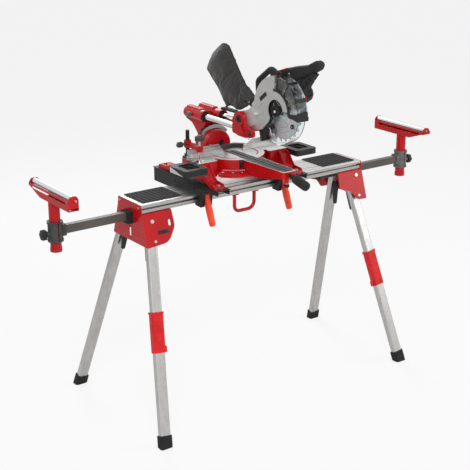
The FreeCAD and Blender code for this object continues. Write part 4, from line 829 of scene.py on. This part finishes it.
def trimDustBag(cloth):
    surface = bvhtree.BVHTree.FromPolygons([vert.co for vert in cloth.data.vertices],
                                           [list(face.vertices) for face in cloth.data.polygons])
    edge = [spot for spot, _ in alongLine(bagLine, bagTrim["step"])]
    seam = [surface.find_nearest(onBag(spot))[0] for spot in edge]
    piping = tubeShape(seam, bagTrim["piping"])
    stamped("dust_bag_piping", blackRubber, "head", [(piping, Matrix())])
    dash = blockShape(bagTrim["stitch"])
    dashes = [(dash, place) for place in stitchPlaces(surface, seam)]
    stamped("dust_bag_stitches", paleThread, "head", dashes, smooth=False)
    makeBagZip(surface)
    return makeBagCollar()


# round screws with a star socket; the profile is for a radius of one
screwHead = {"height": 0.6, "steps": 24,
             "profile": ((0, -1.5), (1, -1.5), (1, 0), (1, 0.35), (0.86, 0.62), (0.62, 0.74), (0.4, 0.76),
                         (0.36, 0.3), (0, 0.3))}


def screwShape(radius, height=1.0):
    tall = radius * screwHead["height"] * height
    return turnedShape([(r * radius, h * tall) for r, h in screwHead["profile"]], screwHead["steps"])


# printed mitre scale on the sloping flange of the base, zero at the pointer
mitreScale = {
    "zero": 246.7, "low": -32, "high": 45, "top": (113.5, -33), "edge": (150, -46), "lift": 0.1,
    "inner": 117, "short": 121.5, "middle": 124, "long": 127, "width": 0.0007, "thick": 0.00016,
    "numbers": 133, "numberEvery": 15, "numberHeight": 0.0082, "numberThick": 0.00008,
}


def flangePlace(radius, angle):
    topRadius, topHeight = mitreScale["top"]
    edgeRadius, edgeHeight = mitreScale["edge"]
    slope = (edgeHeight - topHeight) / (edgeRadius - topRadius)
    height = topHeight + (radius - topRadius) * slope + mitreScale["lift"]
    outward = Vector((math.cos(angle), math.sin(angle), slope))
    point = onSaw(radius * math.cos(angle), radius * math.sin(angle), height)
    return framed(point, (-math.sin(angle), math.cos(angle), 0), -outward)


def makeMitreScale():
    stamps = []
    for degree in range(mitreScale["low"], mitreScale["high"] + 1):
        angle = math.radians(mitreScale["zero"] + degree)
        far = mitreScale["long" if degree % 10 == 0 else "middle" if degree % 5 == 0 else "short"]
        tick = blockShape((mitreScale["width"], (far - mitreScale["inner"]) / 1000, mitreScale["thick"]))
        stamps.append((tick, flangePlace((mitreScale["inner"] + far) / 2, angle)))
        if degree % mitreScale["numberEvery"] == 0:
            words = wordsShape(str(abs(degree)), mitreScale["numberHeight"], mitreScale["numberThick"])
            stamps.append((words, flangePlace(mitreScale["numbers"], angle)))
    stamped("mitre_scale_print", whitePrint, "carriage", stamps, smooth=False)


# printed bevel scale round the top of its arc
bevelMarks = {
    "radius": 74.05, "centre": 5, "from": 45, "to": 135, "every": 3, "near": 122.6, "short": 127, "long": 130.5,
    "width": 0.0008, "thick": 0.00016,
}


def makeBevelMarks():
    stamps = []
    for degree in range(bevelMarks["from"], bevelMarks["to"] + 1, bevelMarks["every"]):
        angle = math.radians(degree)
        outward = Vector((math.cos(angle), 0, math.sin(angle)))
        far = bevelMarks["long" if degree % 15 == 0 else "short"]
        point = onSaw(0, (bevelMarks["near"] + far) / 2, bevelMarks["centre"]) + outward * bevelMarks["radius"] / 1000
        tick = blockShape((bevelMarks["width"], (far - bevelMarks["near"]) / 1000, bevelMarks["thick"]))
        stamps.append((tick, framed(point, outward.cross((0, 1, 0)) * -1, (0, 1, 0))))
    stamped("bevel_scale_print", whitePrint, "tilt", stamps, smooth=False)


# rule marks along the back of both table wings
wingRule = {
    "from": 118, "to": 190, "every": 2, "back": -1.2, "short": 3.0, "long": 5.5, "width": 0.0004, "thick": 0.0001,
    "lift": -0.02, "numbers": -11.2, "numberEvery": 20, "numberHeight": 0.0052, "numberThick": 0.00005,
}


def makeWingRules():
    stamps = []
    for side in (-1, 1):
        for x in range(wingRule["from"], wingRule["to"] + 1, wingRule["every"]):
            length = wingRule["long" if x % 10 == 0 else "short"]
            tick = blockShape((wingRule["width"], length / 1000, wingRule["thick"]))
            place = onSaw(side * x, wingRule["back"] - length / 2, wingRule["lift"])
            stamps.append((tick, Matrix.Translation(place)))
            if x % wingRule["numberEvery"] == 0:
                words = wordsShape(str(x // 10), wingRule["numberHeight"], wingRule["numberThick"])
                place = onSaw(side * x, wingRule["numbers"], wingRule["lift"])
                stamps.append((words, Matrix.Translation(place)))
    stamped("wing_rules_print", redPrint, "carriage", stamps, smooth=False)


# carbide tips brazed to the teeth
toothTips = {"teeth": 24, "radius": 102.3, "back": -1.55, "size": (0.0026, 0.0058, 0.0022), "soft": 0.00025,
             "hook": 18}


def makeToothTips():
    tip = blockShape(toothTips["size"], toothTips["soft"])
    stamps = []
    for tooth in range(toothTips["teeth"]):
        place = Matrix.Translation(bladeCentre) @ Matrix.Rotation(2 * math.pi * tooth / toothTips["teeth"], 4, "X")
        place = place @ Matrix.Translation((0, toothTips["radius"] / 1000, toothTips["back"] / 1000))
        stamps.append((tip, place @ Matrix.Rotation(math.radians(toothTips["hook"]), 4, "X")))
    stamped("tooth_tips", carbide, "blade", stamps, smooth=False)


# bare plate on the housing
namePlate = {"corners": ((-194, 224), (-187, 236), (-221, 262), (-229, 251)), "face": -29.02,
             "thick": 0.0013, "soft": 0.0005}


def makeNamePlate():
    corners = [onSaw(namePlate["face"], y, z) for y, z in namePlate["corners"]]
    shape = plateShape(corners, (-1, 0, 0), namePlate["thick"], namePlate["soft"])
    stamped("name_plate", glossBlack, "head", [(shape, Matrix())])


# bolt, washer and moulded lines on the hub of the lower guard
guardHub = {
    "face": -28.02, "washer": ((0, 0), (8.6, 0), (8.6, 1.0), (8.0, 1.5), (0, 1.5)), "washerSteps": 32,
    "bolt": ((0, 1.4), (5.6, 1.4), (5.8, 1.8), (5.8, 4.6), (5.2, 5.2), (3.2, 5.2), (3.0, 3.4), (0, 3.4)),
    "boltSteps": 6,
    "lineFace": -20.6, "line": 0.0007,
    "lines": (((6, 33), (-4, 26), (-18, 19), (-26, 24), (-30, 30)),
              ((-37, 3), (-26, 5), (-22, -6), (-25, -18), (-33, -27)),
              ((22, 24), (16, 12), (17, -6), (24, -22))),
}


def onHub(x, y=0, z=0):
    # x from the middle of the saw, y and z from the blade's axis
    return Vector((sawOrigin.x + x / 1000, bladeCentre.y + y / 1000, bladeCentre.z + z / 1000))


def makeGuardHub():
    place = facing(onHub(guardHub["face"]), (-1, 0, 0))
    washer = turnedShape(guardHub["washer"], guardHub["washerSteps"])
    stamped("hub_washer", blackSteel, "guard", [(washer, place)])
    bolt = turnedShape(guardHub["bolt"], guardHub["boltSteps"])
    stamped("hub_bolt", screwMetal, "guard", [(bolt, place)])
    stamps = []
    for line in guardHub["lines"]:
        points = [onHub(guardHub["lineFace"], y, z) for y, z in line]
        stamps.append((tubeShape(points, guardHub["line"]), Matrix()))
    stamped("guard_hub_lines", paleGreyMoulding, "guard", stamps)


# strips along the top of the table arm: grey on the left, ribbed black on the right, and a pale metal line at each
# edge that is a painted highlight
armStrips = {
    "top": 0.02, "thick": 0.00035, "soft": 0.0001,
    "left": ((-36.2, -112), (-28.3, -112), (-28.3, -298), (-28.9, -298)),
    "right": ((22.2, -110), (36.0, -110), (28.3, -306), (22.2, -306)),
    "ribEvery": 6.5, "rib": (0.0092, 0.0022, 0.0005), "ribSoft": 0.0002, "ribHeight": 0.55, "ribNarrow": 0.5,
    "edgeFrom": (37.2, -102), "edgeTo": (28.6, -317), "edgeWide": 1.3, "edgeThick": 0.0005, "edgeSoft": 0.0002,
}


def armStrip(corners, thick, soft):
    shape = plateShape([onSaw(x, y, armStrips["top"]) for x, y in corners], (0, 0, 1), thick, soft)
    return shape, Matrix()


def makeArmStrips():
    thick, soft = armStrips["thick"], armStrips["soft"]
    left = armStrip(armStrips["left"], thick, soft)
    stamped("arm_strip_left", greyMoulding, "table", [left])
    stamps = [armStrip(armStrips["right"], thick, soft)]
    (inside, start), (outside, _), (narrowest, end), _ = armStrips["right"]
    rib = blockShape(armStrips["rib"], armStrips["ribSoft"])
    steps = int((start - end) / armStrips["ribEvery"])
    for step in range(1, steps):
        share = step / steps
        middle = (inside + outside * (1 - share) + narrowest * share) / 2
        narrow = Matrix.Diagonal((1 - armStrips["ribNarrow"] * share, 1, 1, 1))
        place = onSaw(middle, start - step * armStrips["ribEvery"], armStrips["ribHeight"])
        stamps.append((rib, Matrix.Translation(place) @ narrow))
    stamped("arm_strip_right", blackMoulding, "table", stamps)
    # the pale lines along both edges are painted highlights, not parts of the arm
    edges = []
    for side in (-1, 1):
        (x0, y0), (x1, y1), wide = armStrips["edgeFrom"], armStrips["edgeTo"], armStrips["edgeWide"]
        corners = [(side * x0, y0), (side * x1, y1), (side * (x1 - wide), y1), (side * (x0 - wide), y0)]
        edges.append(armStrip(corners, armStrips["edgeThick"], armStrips["edgeSoft"]))
    stamped("arm_edge_highlights", fenceMetal, "table", edges)


# bright lines round the long slots of the tool bars
barSlots = {
    "runs": ((-196, -112), (-96, -50), (52, 98), (112, 196)), "half": 4.5, "end": ((1, 2), (0.8, 0.2)),
    "top": 840.45, "line": 0.0005, "apart": 172.5,
}


def makeBarSlotLines():
    half, ends = barSlots["half"], barSlots["end"]
    stamps = []
    for side in (-1, 1):
        middle = sawOrigin.x * 1000 + side * barSlots["apart"]
        for start, end in barSlots["runs"]:
            ring = [(-half * wide, start + inset) for wide, inset in ends]
            ring += [(half * wide, start + inset) for wide, inset in reversed(ends)]
            ring += [(half * wide, end - inset) for wide, inset in ends]
            ring += [(-half * wide, end - inset) for wide, inset in reversed(ends)]
            points = [onStand(middle + x, y, barSlots["top"]) for x, y in ring]
            stamps.append((tubeShape(points, barSlots["line"], closed=True, sides=2), Matrix()))
    stamped("bar_slot_edges", screwMetal, "carriage", stamps)


# orange red inlay over the back of the operating handle
handleInlay = {"from": (-240.5, 331.6), "to": (-286, 347.3), "middle": 25, "wide": 0.0336, "thick": 0.0024,
               "lift": 0.0001, "soft": 0.0009}


def makeHandleInlay():
    start, end = (onSaw(handleInlay["middle"], *handleInlay[where]) for where in ("from", "to"))
    shape = blockShape((handleInlay["wide"], (end - start).length, handleInlay["thick"]), handleInlay["soft"])
    place = framed((start + end) / 2 + Vector((0, 0, handleInlay["lift"])), (1, 0, 0), end - start)
    stamped("handle_inlay", orangePlastic, "head", [(shape, place)])


# black rings where the rails leave their housings, painted shade for the dark inside of the housings
railShadeRings = {"apart": 30, "height": 110, "fronts": (137, 113), "steps": 40,
              "ring": ((11.5, 0), (19.5, 0), (19.8, 0.6), (18.6, 2.2), (12.2, 2.2), (11.5, 1.2), (11.5, 0))}


def makeRailWipers():
    ring = turnedShape(railShadeRings["ring"], railShadeRings["steps"])
    stamps = []
    for side, front in zip((-1, 1), railShadeRings["fronts"]):
        stamps.append((ring, facing(onSaw(side * railShadeRings["apart"], front, railShadeRings["height"]), (0, -1, 0))))
    stamped("rail_shade_rings", blackRubber, "tilt", stamps)


# bare black plate on the left end bracket's front sheet
bracketPlate = {"hinge": -78.5, "lean": -17.5, "at": (-0.428, -0.00195, -0.072), "size": (0.046, 0.0009, 0.0125),
                "soft": 0.0003}


def makeBracketPlate():
    hinge = Matrix.Translation(onStand(0, bracketPlate["hinge"], railUnder))
    lean = Matrix.Rotation(math.radians(bracketPlate["lean"]), 4, "X")
    place = hinge @ lean @ Matrix.Translation(bracketPlate["at"])
    shape = blockShape(bracketPlate["size"], bracketPlate["soft"])
    stamped("bracket_plate", glossBlack, "stand", [(shape, place)])


# screws: where their seats are, from the turntable axis, and which way they look
screws = {
    "small": 2.6, "large": 3.4, "earDepth": 0.0037, "pinHeight": 0.2, "pinFace": -0.02555,
    "window": (((-32.02, -277.8, 296.5), -1), ((-32.02, -327.3, 282.0), -1), ((-32.02, -363.5, 244.4), -1)),
    "housing": (((-29.02, -128, 150), -1), ((-29.02, -196, 128), -1)),
    "handle": (((8.02, -254, 327), -1), ((8.02, -300, 330), -1), ((41.98, -262, 318), 1), ((41.98, -300, 330), 1)),
    "gearbox": (((44.02, -299, 187), 1), ((44.02, -231, 187), 1)),
}


def makeScrews(earPlace):
    small, large = screwShape(screws["small"]), screwShape(screws["large"])
    clampPlace = earPlace @ Matrix.Translation((0, 0, screws["earDepth"]))
    stamped("clamp_screw", screwMetal, "head", [(small, clampPlace)])
    for group, shape in (("window", small), ("housing", large), ("handle", large), ("gearbox", large)):
        stamps = [(shape, facing(onSaw(*seat), (look, 0, 0))) for seat, look in screws[group]]
        stamped(group + "_screws", screwMetal, "head", stamps)
    pin = screwShape(screws["small"], screws["pinHeight"])
    pinPlace = facing(guardRollerCentre + Vector((screws["pinFace"], 0, 0)), (-1, 0, 0))
    stamped("guard_roller_pin", screwMetal, "guard", [(pin, pinPlace)])


bagEar = trimDustBag(makeDustBag())
print("dust bag made")
makeMitreScale()
makeBevelMarks()
makeWingRules()
print("scales printed")
makeToothTips()
makeNamePlate()
makeGuardHub()
makeArmStrips()
makeBarSlotLines()
makeHandleInlay()
# black rings of painted shade round the rails at the housing fronts
makeRailWipers()
makeBracketPlate()
makeScrews(bagEar)
for data in list(bpy.data.meshes):
    if not data.users:
        bpy.data.meshes.remove(data)
print("small parts made")
